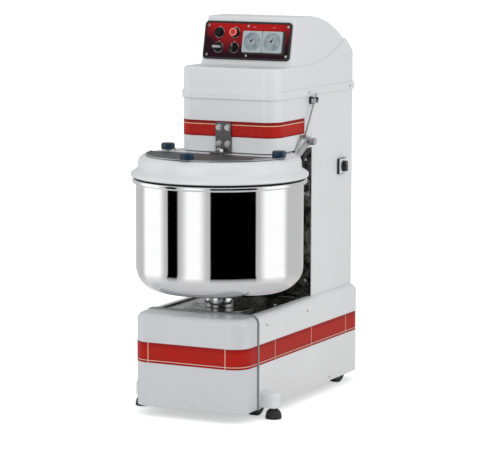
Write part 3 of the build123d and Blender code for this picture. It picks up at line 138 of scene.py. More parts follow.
def noise(tree, scale, detail=3.0, stretch=(1, 1, 1), roughness=0.5):
    """Noise value, scale in cycles per metre."""
    texture = tree.nodes.new("ShaderNodeTexNoise")
    texture.inputs["Scale"].default_value = scale
    texture.inputs["Detail"].default_value = detail
    texture.inputs["Roughness"].default_value = roughness
    tree.links.new(place_coords(tree, stretch), texture.inputs["Vector"])
    return texture.outputs["Fac"]


def remap(tree, value, low, high, to_low=0.0, to_high=1.0):
    """Value rescaled from one range to another, clamped."""
    node = tree.nodes.new("ShaderNodeMapRange")
    node.inputs["From Min"].default_value = low
    node.inputs["From Max"].default_value = high
    node.inputs["To Min"].default_value = to_low
    node.inputs["To Max"].default_value = to_high
    tree.links.new(value, node.inputs["Value"])
    return node.outputs["Result"]


def feed(tree, socket, value):
    """Give a socket a fixed number or colour, or link another socket to it."""
    if isinstance(value, tuple):
        socket.default_value = (*value, 1)
    elif isinstance(value, (int, float)):
        socket.default_value = value
    else:
        tree.links.new(value, socket)


def calculate(tree, operation, *values):
    """One arithmetic step on numbers or sockets."""
    node = tree.nodes.new("ShaderNodeMath")
    node.operation = operation
    for socket, value in zip(node.inputs, values):
        feed(tree, socket, value)
    return node.outputs["Value"]


def blend_colors(tree, factor, first, second):
    """Colour mixed from first to second; each may be a colour or a socket."""
    node = tree.nodes.new("ShaderNodeMix")
    node.data_type = "RGBA"
    factor_socket, first_socket, second_socket = node.inputs[0], node.inputs[6], node.inputs[7]
    feed(tree, first_socket, first)
    feed(tree, second_socket, second)
    feed(tree, factor_socket, factor)
    return node.outputs[2]


def grey(level):
    """Neutral grey of a level."""
    return (level, level, level)


def shade(color, factor, lift=0.0):
    """Colour made darker or paler."""
    return tuple(min(1.0, channel * factor + lift) for channel in color)


def bump(tree, shader, height, strength, depth):
    """Surface relief from a height value, depth in metres."""
    node = tree.nodes.new("ShaderNodeBump")
    node.inputs["Strength"].default_value = strength
    node.inputs["Distance"].default_value = depth
    tree.links.new(height, node.inputs["Height"])
    drive(shader, "Normal", node.outputs["Normal"])


# ---- Materials -----------------------------------------------------------------------------
def white_coat(name, color, gloss, peel):
    """White paint or gel coat: faint tone drift, fine orange peel, light soiling near the floor."""
    tree, shader = start_material(name, color, gloss)
    drift = remap(tree, noise(tree, 3.0, 4), 0.35, 0.7)
    tone = blend_colors(tree, drift, color, shade(color, 0.965))
    low_down = remap(tree, split_place(tree)["Z"], 0.03, 0.13, 1.0, 0.0)
    speckle = remap(tree, noise(tree, 60, 6), 0.5, 0.8)
    soil = calculate(tree, "MULTIPLY", low_down, speckle)
    soil = calculate(tree, "MULTIPLY", soil, 0.3)
    drive(shader, "Base Color", blend_colors(tree, soil, tone, (0.42, 0.41, 0.39)))
    drive(shader, "Roughness", remap(tree, noise(tree, 8, 3), 0.3, 0.75, gloss - 0.02, gloss + 0.03))
    bump(tree, shader, noise(tree, 420, 2), peel, 0.0004)


def rubber(name, color, grain=900):
    """Matte rubber with a fine pitted grain and a dusty bloom."""
    tree, shader = start_material(name, color, 0.62)
    bloom = remap(tree, noise(tree, 35, 5), 0.45, 0.8, 0.0, 0.35)
    drive(shader, "Base Color", blend_colors(tree, bloom, color, shade(color, 1.5, 0.02)))
    bump(tree, shader, noise(tree, grain, 3), 0.25, 0.0003)


def plastic(name, color, gloss, coat=0.0, specular=0.5):
    """Moulded plastic with a spark-eroded grain and slight gloss drift."""
    tree, shader = start_material(name, color, gloss, specular=specular)
    drift = remap(tree, noise(tree, 40, 4), 0.35, 0.7, 0.0, 0.25)
    drive(shader, "Base Color", blend_colors(tree, drift, color, shade(color, 1.25, 0.01)))
    drive(shader, "Roughness", remap(tree, noise(tree, 120, 4), 0.3, 0.7, gloss * 0.85, gloss * 1.15))
    bump(tree, shader, noise(tree, 1100, 2), 0.12, 0.0002)
    shader.inputs["Coat Weight"].default_value = coat


def brushed_metal(name, color, roughness, stretch):
    """Metal with fine parallel brush lines; stretch is small along the lines."""
    tree, shader = start_material(name, color, roughness, 1.0)
    lines = noise(tree, 1400, 3, stretch)
    streak = remap(tree, lines, 0.3, 0.7)
    drive(shader, "Base Color", blend_colors(tree, streak, shade(color, 0.86), color))
    drive(shader, "Roughness", remap(tree, lines, 0.3, 0.7, roughness * 1.2, roughness * 0.8))
    bump(tree, shader, lines, 0.25, 0.00008)


def mirror_steel(name, color, roughness):
    """Mirror-polished stainless with faint rings left by the polishing wheel and fine wipe marks."""
    tree, shader = start_material(name, color, roughness, 1.0)
    rings = noise(tree, 420, 2, (0.02, 0.02, 1.0))
    wipes = noise(tree, 9, 5)
    drive(shader, "Roughness", remap(tree, wipes, 0.45, 0.8, roughness * 0.6, roughness * 1.7))
    tone = blend_colors(tree, remap(tree, rings, 0.35, 0.65), color, shade(color, 0.97))
    drive(shader, "Base Color", tone)
    bump(tree, shader, rings, 0.004, 0.0001)


def smears_and_painted_reflections(name, dark, pale, roughness):
    """Polished sheet with smears and fine scratches, and with painted reflections: a dark base colour with
    pale blotches and flecks.
    """
    tree, shader = start_material(name, dark, roughness, 1.0)
    # Painted reflection: the dark base and the pale blotches and flecks stand for what the polished sheet
    # mirrors, along with real smears and scratches.
    smear_and_reflection = remap(tree, noise(tree, 24, 9, (1, 1, 0.7), 0.7), 0.44, 0.62)
    fleck = remap(tree, noise(tree, 110, 4), 0.58, 0.72)
    tone = blend_colors(tree, smear_and_reflection, dark, pale)
    tone = blend_colors(tree, calculate(tree, "MULTIPLY", fleck, 0.6), tone, pale)
    drive(shader, "Base Color", tone)
    drive(shader, "Roughness", remap(tree, noise(tree, 55, 6), 0.3, 0.7, roughness * 0.6, roughness * 1.6))
    bump(tree, shader, noise(tree, 60, 5), 0.12, 0.0006)


def deck_material():
    """Smeared steel deck with painted reflections: dark with pale blotches, and painted pale and less
    metallic towards its open front left corner, where it mirrors the white backdrop.
    """
    smears_and_painted_reflections("deck_steel", grey(0.07), (0.42, 0.42, 0.41), 0.25)
    tree = MATERIALS["deck_steel"].node_tree
    shader = tree.nodes["Principled BSDF"]
    place = split_place(tree)
    # Painted reflection: the share that turns the deck pale towards its front left corner stands for the
    # white backdrop it mirrors there.
    depth = calculate(tree, "MULTIPLY", place["Y"], 0.5)
    inward = calculate(tree, "ADD", place["X"], depth)
    streaks = remap(tree, noise(tree, 30, 6, (1, 0.3, 1)), 0.3, 0.7, -0.06, 0.06)
    pale_reflection_share = remap(tree, calculate(tree, "ADD", inward, streaks), -0.02, -0.16, 0.0, 0.9)
    sheet_tone = shader.inputs["Base Color"].links[0].from_socket
    drive(shader, "Base Color", blend_colors(tree, pale_reflection_share, sheet_tone, (0.66, 0.66, 0.66)))
    drive(shader, "Metallic", calculate(tree, "SUBTRACT", 1.0, pale_reflection_share))


def cast_metal(name, color):
    """Painted casting with a sandy skin."""
    tree, shader = start_material(name, color, 0.5, 0.15)
    chips = remap(tree, noise(tree, 30, 7), 0.62, 0.68)
    drive(shader, "Base Color", blend_colors(tree, chips, color, (0.35, 0.34, 0.33)))
    bump(tree, shader, noise(tree, 500, 4), 0.35, 0.0005)


def stripe(tree, coordinate, centre, width):
    """1 inside a thin stripe across a coordinate, 0 outside."""
    offset = calculate(tree, "SUBTRACT", coordinate, centre)
    return calculate(tree, "LESS_THAN", calculate(tree, "ABSOLUTE", offset), width / 2)


def height_share(tree, node):
    """Height within a CAD node's box, 0 at its bottom and 1 at its top."""
    low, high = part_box(node)
    return remap(tree, split_place(tree)["Z"], low.z, high.z)


PRINT_SPECULAR = 0.12
BAND_RED = (0.50, 0.010, 0.005)
BAND_DARK = (0.24, 0.004, 0.005)
BAND_LINE = (0.74, 0.52, 0.42)
DIVIDER_PITCH = 0.28
DIVIDER_HALF_WIDTH = 0.0016


def divider_lines(tree, run):
    """1 on thin upright lines repeated along a run of the base band, 0 between them."""
    cycle = calculate(tree, "PINGPONG", run, DIVIDER_PITCH / 2)
    return calculate(tree, "LESS_THAN", cycle, DIVIDER_HALF_WIDTH)


def base_band_material():
    """Printed band round the base: red with a darker top, one pale line low down and dividers."""
    tree, shader = start_material("base_band", BAND_RED, 0.42, 0, PRINT_SPECULAR)
    share = height_share(tree, "base_bands")
    mottle = remap(tree, noise(tree, 70, 6, (1, 1, 2.2)), 0.35, 0.7)
    tone = blend_colors(tree, mottle, BAND_RED, (0.36, 0.018, 0.009))
    tone = blend_colors(tree, remap(tree, share, 0.72, 1.0, 0.0, 0.75), tone, BAND_DARK)
    tone = blend_colors(tree, remap(tree, share, 0.30, 0.0, 0.0, 0.6), tone, BAND_DARK)
    tone = blend_colors(tree, stripe(tree, share, 0.115, 0.035), tone, BAND_LINE)
    place = split_place(tree)
    on_front = calculate(tree, "LESS_THAN", place["Y"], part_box("base_seam_gasket")[0].y)
    on_side = calculate(tree, "SUBTRACT", 1.0, on_front)
    front_run = calculate(tree, "ADD", place["X"], DIVIDER_PITCH / 2)
    side_run = calculate(tree, "SUBTRACT", place["Y"], BOWL_AXIS.y)
    front = calculate(tree, "MULTIPLY", on_front, divider_lines(tree, front_run))
    side = calculate(tree, "MULTIPLY", on_side, divider_lines(tree, side_run))
    divider = calculate(tree, "ADD", front, side)
    tone = blend_colors(tree, calculate(tree, "MULTIPLY", divider, 0.8), tone, BAND_LINE)
    drive(shader, "Base Color", tone)
    bump(tree, shader, noise(tree, 700, 2), 0.05, 0.0002)


def head_band_material():
    """Printed band round the head: red with a dark top strip and one pale line under it."""
    tree, shader = start_material("head_band", BAND_RED, 0.42, 0, PRINT_SPECULAR)
    share = height_share(tree, "head_band")
    mottle = remap(tree, noise(tree, 60, 5), 0.35, 0.7)
    tone = blend_colors(tree, mottle, (0.52, 0.016, 0.009), (0.42, 0.012, 0.008))
    top_strip = calculate(tree, "GREATER_THAN", share, 0.8)
    tone = blend_colors(tree, top_strip, tone, (0.28, 0.006, 0.008))
    tone = blend_colors(tree, remap(tree, share, 0.16, 0.0), tone, BAND_DARK)
    tone = blend_colors(tree, stripe(tree, share, 0.775, 0.045), tone, (0.86, 0.62, 0.40))
    drive(shader, "Base Color", tone)
    bump(tree, shader, noise(tree, 700, 2), 0.05, 0.0002)


def panel_material():
    """Printed control panel: bright red at the top falling to dark maroon, darker at both sides."""
    tree, shader = start_material("panel_red", (0.5, 0.01, 0.01), 0.4, 0, PRINT_SPECULAR)
    blotches = remap(tree, noise(tree, 9, 3), 0.3, 0.7, -0.2, 0.2)
    drift = calculate(tree, "ADD", height_share(tree, "control_panel"), blotches)
    off_centre = calculate(tree, "ABSOLUTE", split_place(tree)["X"])
    side = remap(tree, off_centre, 0.09, 0.17, 0.0, 0.35)
    drift = remap(tree, calculate(tree, "SUBTRACT", drift, side), 0.2, 0.85)
    tone = blend_colors(tree, drift, (0.02, 0.0005, 0.007), (0.46, 0.003, 0.003))
    drive(shader, "Base Color", tone)
    bump(tree, shader, noise(tree, 800, 2), 0.04, 0.0002)


def dial_material():
    """Silvered dial, blotched with a darker tone."""
    pale = (0.42, 0.49, 0.51)
    tree, shader = start_material("timer_dial", pale, 0.3, 0.5)
    tone = remap(tree, noise(tree, 45, 5), 0.38, 0.66)
    drive(shader, "Base Color", blend_colors(tree, tone, pale, (0.25, 0.31, 0.34)))
    bump(tree, shader, noise(tree, 1500, 2), 0.08, 0.0001)


white_coat("white_paint", grey(0.79), 0.34, 0.10)
white_coat("white_moulding", (0.785, 0.79, 0.805), 0.25, 0.05)
# Painted shade: the nose cover wears a darker copy of the white moulding, for the dimmer light on its
# front.
white_coat("shaded_nose_moulding", (0.65, 0.66, 0.685), 0.25, 0.05)
rubber("grey_seal", (0.25, 0.255, 0.26))
rubber("black_seal", (0.012, 0.012, 0.013))
rubber("black_rubber", (0.014, 0.014, 0.015))
rubber("black_belt", grey(0.02), 400)
mirror_steel("polished_steel", (0.86, 0.86, 0.865), 0.045)
mirror_steel("hub_steel", (0.72, 0.72, 0.73), 0.09)
mirror_steel("bolt_steel", (0.78, 0.77, 0.75), 0.2)
brushed_metal("satin_steel", (0.62, 0.62, 0.63), 0.28, (0.03, 1, 1))
# Painted shade and reflection: the guard plate's steel is near black, for the head's shadow and dark
# reflection on it.
brushed_metal("plate_steel", (0.085, 0.09, 0.09), 0.5, (0.02, 1, 1))
brushed_metal("bracket_steel", (0.16, 0.16, 0.17), 0.38, (1, 1, 0.04))
brushed_metal("rod_steel", (0.38, 0.39, 0.39), 0.32, (1, 1, 0.05))
brushed_metal("bezel_steel", grey(0.42), 0.3, (1, 1, 1))
# Painted reflection: the column's front panel is near black with pale blotches, for the dark bowl and room
# it mirrors.
smears_and_painted_reflections("dark_steel", (0.02, 0.02, 0.017), (0.27, 0.27, 0.24), 0.3)
# Painted shade and reflection: the flange under the bowl is dark with pale blotches.
smears_and_painted_reflections("flange_steel", grey(0.12), grey(0.36), 0.3)
deck_material()
cast_metal("frame_paint", (0.19, 0.21, 0.23))
cast_metal("cast_housing", (0.42, 0.43, 0.43))
cast_metal("motor_paint", (0.05, 0.09, 0.17))
plastic("black_plastic", (0.012, 0.012, 0.013), 0.38)
plastic("control_black", (0.003, 0.004, 0.003), 0.45, specular=0.18)
plastic("navy_plastic", (0.004, 0.026, 0.055), 0.34)
plastic("red_plastic", (0.50, 0.012, 0.015), 0.28, coat=0.4)
plastic("pale_plastic", (0.72, 0.50, 0.48), 0.35)
plastic("salmon_plastic", (0.78, 0.20, 0.15), 0.35)
plastic("grey_plastic", (0.33, 0.345, 0.35), 0.4)
plastic("silver_plastic", (0.40, 0.46, 0.48), 0.28)
base_band_material()
head_band_material()
panel_material()
dial_material()


# ---- Mesh building blocks, in millimetres --------------------------------------------------
def rounded(points, radii, steps=6):
    """Open outline with each inner corner replaced by an arc of the given radius."""
    outline = [Vector(points[0])]
    for before, corner, after, radius in zip(points, points[1:], points[2:], radii):
        before, corner, after = Vector(before), Vector(corner), Vector(after)
        if radius <= 0:
            outline.append(corner)
            continue
        back, ahead = (before - corner).normalized(), (after - corner).normalized()
        half = back.angle(ahead) / 2
        reach = radius / math.tan(half)
        centre = corner + (back + ahead).normalized() * (radius / math.sin(half))
        first, last = corner + back * reach - centre, corner + ahead * reach - centre
        turn = first.angle(last)
        for step in range(steps + 1):
            share = step / steps
            swing = first * math.sin((1 - share) * turn) + last * math.sin(share * turn)
            outline.append(centre + swing / math.sin(turn))
    outline.append(Vector(points[-1]))
    return outline


def post(radius, first, last):
    """Outline of a plain round post between two heights."""
    return [(0, first), (radius, first), (radius, last), (0, last)]


def rectangle(width, height, radius=0.0, steps=4, centre=(0, 0)):
    """Closed outline of a rectangle with rounded corners."""
    points = []
    for quarter, (sign_x, sign_y) in enumerate(((1, 1), (-1, 1), (-1, -1), (1, -1))):
        for step in range(steps + 1):
            angle = math.pi / 2 * (quarter + step / steps)
            x = sign_x * (width / 2 - radius) + radius * math.cos(angle)
            y = sign_y * (height / 2 - radius) + radius * math.sin(angle)
            points.append((centre[0] + x, centre[1] + y))
    return points


def hexagon(angle):
    """Radius of a hexagon at an angle, as a share of its corner radius."""
    return math.cos(math.pi / 6) / math.cos(angle % (math.pi / 3) - math.pi / 6)


def hexagon_outside(blank):
    """Shape for add_turned: hexagonal flats on radii larger than blank."""
    return lambda angle, radius, height: hexagon(angle) if radius > blank else 1


def lobes(count, depth, blank):
    """Shape for add_turned: finger lobes cut into radii larger than blank."""
    def shape(angle, radius, height):
        return 1 if radius < blank else 1 - depth * (0.5 + 0.5 * math.cos(count * angle))
    return shape


def facing(direction, place):
    """Placement at a place with its Z along a direction."""
    return Matrix.Translation(place) @ direction.to_track_quat("Z", "Y").to_matrix().to_4x4()


def on_face(across, up, out):
    """Placement on the console face, Z out of the face."""
    return FACE @ Matrix.Translation((across, up, out))


def add_point(bm, at, x, y, z):
    """New vertex at a place given in a placement's own directions."""
    return bm.verts.new(at @ Vector((x, y, z)) * MM)


def add_turned(bm, outline, at, segments, paint=0, shape=None):
    """Turn an outline of (radius, height) points about Z; shape scales radii by angle."""
    rings = []
    for radius, height in outline:
        ring = []
        for index in range(segments if radius > 1e-4 else 1):
            angle = math.tau * index / segments
            reach = radius * (shape(angle, radius, height) if shape else 1)
            ring.append(add_point(bm, at, reach * math.cos(angle), reach * math.sin(angle), height))
        rings.append(ring)
    for lower, upper in zip(rings, rings[1:]):
        for index in range(segments):
            follow = (index + 1) % segments
            around = []
            for ring, place in ((lower, index), (lower, follow), (upper, follow), (upper, index)):
                vertex = ring[place % len(ring)]
                if vertex not in around:
                    around.append(vertex)
            if len(around) > 2:
                bm.faces.new(around).material_index = paint


def bridge(bm, first, second):
    """Faces between two closed rings of as many vertices."""
    faces = []
    for index in range(len(first)):
        follow = (index + 1) % len(first)
        faces.append(bm.faces.new((first[index], first[follow], second[follow], second[index])))
    return faces


def add_prism(bm, outline, low, high, at, paint=0):
    """Flat outline of (x, y) points given thickness along Z."""
    rings = [[add_point(bm, at, x, y, level) for x, y in outline] for level in (low, high)]
    faces = [bm.faces.new(rings[0][::-1]), bm.faces.new(rings[1])] + bridge(bm, *rings)
    for face in faces:
        face.material_index = paint


def add_tube(bm, path, radius, paint=0, sides=10):
    """Round rod along a path of points."""
    rings = []
    for index, point in enumerate(path):
        before = path[max(index - 1, 0)]
        after = path[min(index + 1, len(path) - 1)]
        at = Matrix.Translation(point) @ (after - before).to_track_quat("Z", "X").to_matrix().to_4x4()
        angles = [math.tau * side / sides for side in range(sides)]
        rings.append([add_point(bm, at, radius * math.cos(a), radius * math.sin(a), 0) for a in angles])
    faces = [bm.faces.new(rings[0][::-1]), bm.faces.new(rings[-1])]
    for lower, upper in zip(rings, rings[1:]):
        faces += bridge(bm, lower, upper)
    for face in faces:
        face.material_index = paint


def new_object(bm, name, materials):
    """Put a bmesh in the scene as an object with materials."""
    mesh = bpy.data.meshes.new(name)
    bm.to_mesh(mesh)
    bm.free()
    item = bpy.data.objects.new(name, mesh)
    bpy.context.scene.collection.objects.link(item)
    for material in materials:
        mesh.materials.append(material)
    return item


CREASE = math.radians(35)


def add_bevel(piece, width):
    """Small rounding on the sharp edges, width in millimetres."""
    bevel = piece.modifiers.new("edge_rounding", "BEVEL")
    bevel.width = width * MM
    bevel.segments = 2
    bevel.limit_method = "ANGLE"
    bevel.angle_limit = CREASE
    bevel.harden_normals = True


def make_piece(bm, name, paints, body, replaced=None, bevel=0.0):
    """Turn a bmesh into a piece that rides on a body and wears its materials."""
    bmesh.ops.remove_doubles(bm, verts=bm.verts, dist=1e-7)
    bmesh.ops.recalc_face_normals(bm, faces=bm.faces)
    piece = new_object(bm, name, [MATERIALS[paint] for paint in paints])
    for polygon in piece.data.polygons:
        polygon.use_smooth = True
    piece.data.set_sharp_from_angle(angle=CREASE)
    if bevel:
        add_bevel(piece, bevel)
    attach(piece, body)
    if replaced:
        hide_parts(replaced)


# ---- CAD nodes that keep their own meshes --------------------------------------------------
# Material and edge rounding in millimetres of the kept nodes.
NODE_FINISHES = (
    ("white_paint", 0.8, ("base_shell", "column_shell")),
    ("white_moulding", 1.0, ("foot_bosses", "head_lower_cover", "rear_bowl_cover")),
    ("white_moulding", 1.2, ("head_upper_cover", "lid_shell")),
    # Painted shade: darker copy of the white moulding on the nose cover.
    ("shaded_nose_moulding", 1.2, ("base_front_cover",)),
    ("grey_seal", 1.2, ("base_seam_gasket",)),
    ("black_seal", 0.5, ("lid_seal",)),
    ("black_seal", 1.0, ("control_panel_gasket",)),
    ("base_band", 0.2, ("base_bands",)),
    ("head_band", 0.2, ("head_band",)),
    ("panel_red", 0.3, ("control_panel",)),
    ("deck_steel", 0.5, ("base_deck_plate",)),
    ("dark_steel", 0.4, ("column_front_panel",)),
    ("plate_steel", 0.5, ("lid_guard_plate",)),
    ("bracket_steel", 0.6, ("breaker_bar_bracket",)),
    ("flange_steel", 0.8, ("bowl_bearing_housing",)),
    ("rod_steel", 0.3, ("stay_rod",)),
    ("satin_steel", 0.4, ("lid_arms",)),
    ("satin_steel", 0.5, ("roller_brackets",)),
    ("satin_steel", 0.8, ("lid_pivots",)),
    ("polished_steel", 0.8, ("spiral_hook", "breaker_bar")),
    ("hub_steel", 0.8, ("bowl_hub",)),
    ("hub_steel", 0.5, ("bowl_motor_pulley", "spiral_motor_pulley")),
    ("cast_housing", 0.5, ("bowl_pulley", "spiral_pulley")),
    ("cast_housing", 0.8, ("spiral_bearing_housing",)),
    ("black_belt", 0.8, ("bowl_belt", "spiral_belts")),
    ("frame_paint", 0.8, ("base_frame", "column_frame")),
    ("motor_paint", 0.5, ("bowl_motor", "spiral_motor")),
    ("grey_plastic", 1.0, ("electrical_box",)),
    ("black_plastic", 0.8, ("cable_gland",)),
)


def finish_node(node, finish, rounding):
    """Give a kept CAD node its material, join its split vertices and round its sharp edges."""
    piece = NODES[node]
    mesh = piece.data
    mesh.materials.clear()
    mesh.materials.append(MATERIALS[finish])
    if "custom_normal" in mesh.attributes:
        mesh.attributes.remove(mesh.attributes["custom_normal"])
    for polygon in mesh.polygons:
        polygon.material_index = 0
        polygon.use_smooth = True
    weld = piece.modifiers.new("weld", "WELD")
    weld.merge_threshold = 1e-6
    flatten = piece.modifiers.new("flatten", "DECIMATE")
    flatten.decimate_type = "DISSOLVE"
    flatten.angle_limit = math.radians(0.4)
    add_bevel(piece, rounding)


# ---- Bowl ----------------------------------------------------------------------------------
def build_bowl():
    """Spun bowl with a dished corner, a rolled bead at its rim and an even wall."""
    low, high = box("bowl")
    axis = middle("bowl")
    rim = (high.x - low.x) / 2
    wall = rim - 12
    sheet = 3
    bead = 9
    corner = 80
    bead_height = high.z - bead
    outline = rounded([(0, low.z), (wall, low.z), (wall, bead_height - bead)], [corner], 24)
    for bearing in range(-130, 141, 15):
        angle = math.radians(bearing)
        outline.append(Vector((rim - bead + bead * math.cos(angle), bead_height + bead * math.sin(angle))))
    inside = [(wall - sheet, bead_height), (wall - sheet, low.z + sheet), (0, low.z + sheet)]
    outline += rounded(inside, [corner - sheet], 24)
    bm = bmesh.new()
    add_turned(bm, outline, Matrix.Translation((axis.x, axis.y, 0)), 160)
    make_piece(bm, "bowl_spun", ["polished_steel"], "bowl", "bowl")


# ---- Lid knobs and plate -------------------------------------------------------------------
def centre_of(points):
    """Mean of a list of points."""
    return sum(points, Vector()) / len(points)


def knob_places():
    """Middle of each lid knob's top, found from the CAD node, and the height of the tops."""
    top = box("lid_knobs")[1].z
    knob_width = 50
    groups = []
    for point in corners("lid_knobs"):
        if point.z <= top - 0.5:
            continue
        near = [group for group in groups if (group[0] - point).length < knob_width]
        if near:
            near[0].append(point)
        else:
            groups.append([point])
    return [centre_of(group) for group in groups], top


def build_lid_knobs():
    """Seven-lobed hand knobs on a steel collar and stem."""
    places, top = knob_places()
    profile = [(0, 0), (22, -1.5), (24, -11), (23, -22.5), (14, -23), (0, -23)]
    grip = rounded(profile, [5, 4, 2.5, 0])
    bm = bmesh.new()
    for place in places:
        at = Matrix.Translation((place.x, place.y, top))
        add_turned(bm, grip, at, 56, 0, lobes(7, 0.08, 14))
        add_turned(bm, post(12, -22, -25), at, 32, 1)
        add_turned(bm, post(4, -24, -40), at, 20, 1)
    paints = ["navy_plastic", "satin_steel"]
    make_piece(bm, "lid_hand_knobs", paints, "lid", "lid_knobs")


def build_plate_fittings():
    """Rolled bead round the guard plate, a flat arm to the right knob and the thin handle rod."""
    low, high = box("lid_guard_plate")
    axis = middle("bowl")
    places = sorted(knob_places()[0], key=lambda place: place.x)
    left, right = places[0], places[-1]
    bm = bmesh.new()

    reach = axis.y - low.y - 1.5
    start = math.asin((high.y - 3 - axis.y) / reach)
    steps = 48
    bead = []
    for step in range(steps + 1):
        angle = start - (math.pi + 2 * start) * step / steps
        x = axis.x + reach * math.cos(angle)
        bead.append(Vector((x, axis.y + reach * math.sin(angle), high.z + 0.8)))
    add_tube(bm, bead, 1.8)

    inner = Vector((right.x - 46, right.y - 76, 0))
    along = Vector((right.x, right.y, 0)) - inner
    arm = rectangle(along.length + 16, 16, 8, 6, (along.length / 2, 0))
    at = Matrix.Translation(inner) @ Matrix.Rotation(math.atan2(along.y, along.x), 4, "Z")
    add_prism(bm, arm, high.z, high.z + 2.5, at)

    bends = ((0, 0, 12), (20, 2, 13), (26, 4, 4), (27, 4.5, -1))
    rod = [Vector((left.x + x, left.y + y, high.z + z)) for x, y, z in bends]
    add_tube(bm, rod, 2, 1)
    make_piece(bm, "guard_plate_fittings", ["satin_steel", "rod_steel"], "lid")


def build_stay_clamp():
    """Black jaw on the column, steel plates before and behind the stay rod, and a black knob."""
    low, high = box("stay_clamp")
    centre = middle("stay_clamp")
    at = facing(ACROSS, (0, centre.y, centre.z))
    jaw_face = low.x + 6
    bm = bmesh.new()
    add_prism(bm, rectangle(24, 24, 6, 5), low.x, jaw_face, at)
    for side in (-1, 1):
        plate = rectangle(4, 15, 1.5, 3, (side * 9.5, -1))
        add_prism(bm, plate, jaw_face - 1, high.x - 1, at, 1)
        lug = rectangle(3.5, 20, 1.5, 3, (side * 10, 0))
        add_prism(bm, lug, jaw_face - 1, jaw_face + 3, at)
    crossbar = rectangle(20, 4, 1.5, 3, (0, -7))
    add_prism(bm, crossbar, high.x - 4, high.x - 1, at, 1)
    knob = rounded(post(5.5, high.x - 7, high.x), [1, 1.5], 4)
    add_turned(bm, knob, at @ Matrix.Translation((6, 6, 0)), 24)
    paints = ["black_plastic", "satin_steel"]
    make_piece(bm, "stay_eye", paints, "machine", "stay_clamp", 0.6)


# ---- Fasteners -----------------------------------------------------------------------------
def loose_parts(node):
    """The corners of a node's separate solids, as one list of points for each."""
    bm = bmesh.new()
    bm.from_mesh(NODES[node].data)
    bmesh.ops.remove_doubles(bm, verts=bm.verts, dist=1e-6)
    seen, parts = set(), []
    for start in bm.verts:
        if start in seen:
            continue
        stack, part = [start], []
        seen.add(start)
        while stack:
            vertex = stack.pop()
            part.append(vertex.co / MM)
            for edge in vertex.link_edges:
                other = edge.other_vert(vertex)
                if other not in seen:
                    seen.add(other)
                    stack.append(other)
        parts.append(part)
    bm.free()
    return parts


def widest(points):
    """Greatest distance from any point to every fourth point, near enough to their width."""
    return max((one - other).length for one in points for other in points[::4])


def screw_placement(points):
    """Placement on top of a screw's head, Z from its shank towards its head."""
    best_width, best = 0, None
    for axis in (ACROSS, -ACROSS, FORWARD, UPWARD, OUT):
        reach = [point.dot(axis) for point in points]
        top = [point for point, along in zip(points, reach) if along > max(reach) - 0.01]
        bottom = [point for point, along in zip(points, reach) if along < min(reach) + 0.01]
        if len(top) < 6 or len(bottom) < 6:
            continue
        width = widest(top)
        if width > widest(bottom) * 1.5 and width > best_width:
            best_width, best = width, facing(axis, centre_of(top))
    return best


def build_screws():
    """Button-head screws with a hexagon socket."""
    profile = [(0, -1.5), (1.7, -1.5), (1.7, 0), (3.4, 0), (5, -1.7), (5, -2.6), (2.4, -2.6)]
    profile += [(2.4, -12.6), (0, -12.6)]
    outline = rounded(profile, [0, 0, 0.8, 0.8, 0, 0, 0], 3)

    def socket(angle, radius, height):
        return hexagon(angle) if radius < 1.8 and height > -2 else 1

    bm = bmesh.new()
    for points in loose_parts("cover_screws"):
        add_turned(bm, outline, screw_placement(points), 24, 0, socket)
    make_piece(bm, "button_screws", ["bolt_steel"], "machine", "cover_screws")


def build_bracket_bolts():
    """Hexagon bolts on washers that hold the breaker bar's bracket."""
    washer = rounded(post(11, -5.6, -7), [0.5, 0])
    head = [(0, 0), (8.2, 0), (9.4, -1), (9.4, -6), (0, -6)]
    front = box("bracket_bolts")[0].y
    bm = bmesh.new()
    for points in loose_parts("bracket_bolts"):
        centre = centre_of(points)
        at = facing(FORWARD, (centre.x, front, centre.z))
        add_turned(bm, washer, at, 32)
        add_turned(bm, head, at, 48, 0, hexagon_outside(9))
        add_turned(bm, post(4, -6, -26), at, 20)
    make_piece(bm, "hexagon_bolts", ["bolt_steel"], "machine", "bracket_bolts")


# ---- Feet, wheels and rollers --------------------------------------------------------------
def build_foot(node):
    """Domed rubber foot with grip rings under a steel stem and lock nut."""
    low, high = box(node)
    centre = middle(node)
    radius = (high.x - low.x) / 2
    crown = high.z - 38
    at = Matrix.Translation((centre.x, centre.y, 0))
    profile = [
        (0, 0),
        (radius - 1, 0),
        (radius, 4),
        (radius, 11),
        (radius - 1.5, 12),
        (radius - 1.5, 13.5),
        (radius - 2, 19),
        (radius - 7, 27),
        (12, crown - 3.5),
        (0, crown - 3.5),
    ]
    bm = bmesh.new()
    add_turned(bm, rounded(profile, [0, 1, 0.5, 0.3, 0.3, 6, 7, 3], 5), at, 48)
    add_turned(bm, post(10, crown - 4, crown), at, 48, 1, hexagon_outside(9))
    add_turned(bm, post(8, crown - 1, high.z), at, 24, 1)
    make_piece(bm, node + "_domed", ["black_rubber", "satin_steel"], node, node)


def mirrored(half):
    """Half of a wheel's cross-section, from its outer face inwards, with its other half."""
    return half + [(radius, -height) for radius, height in half[::-1]]


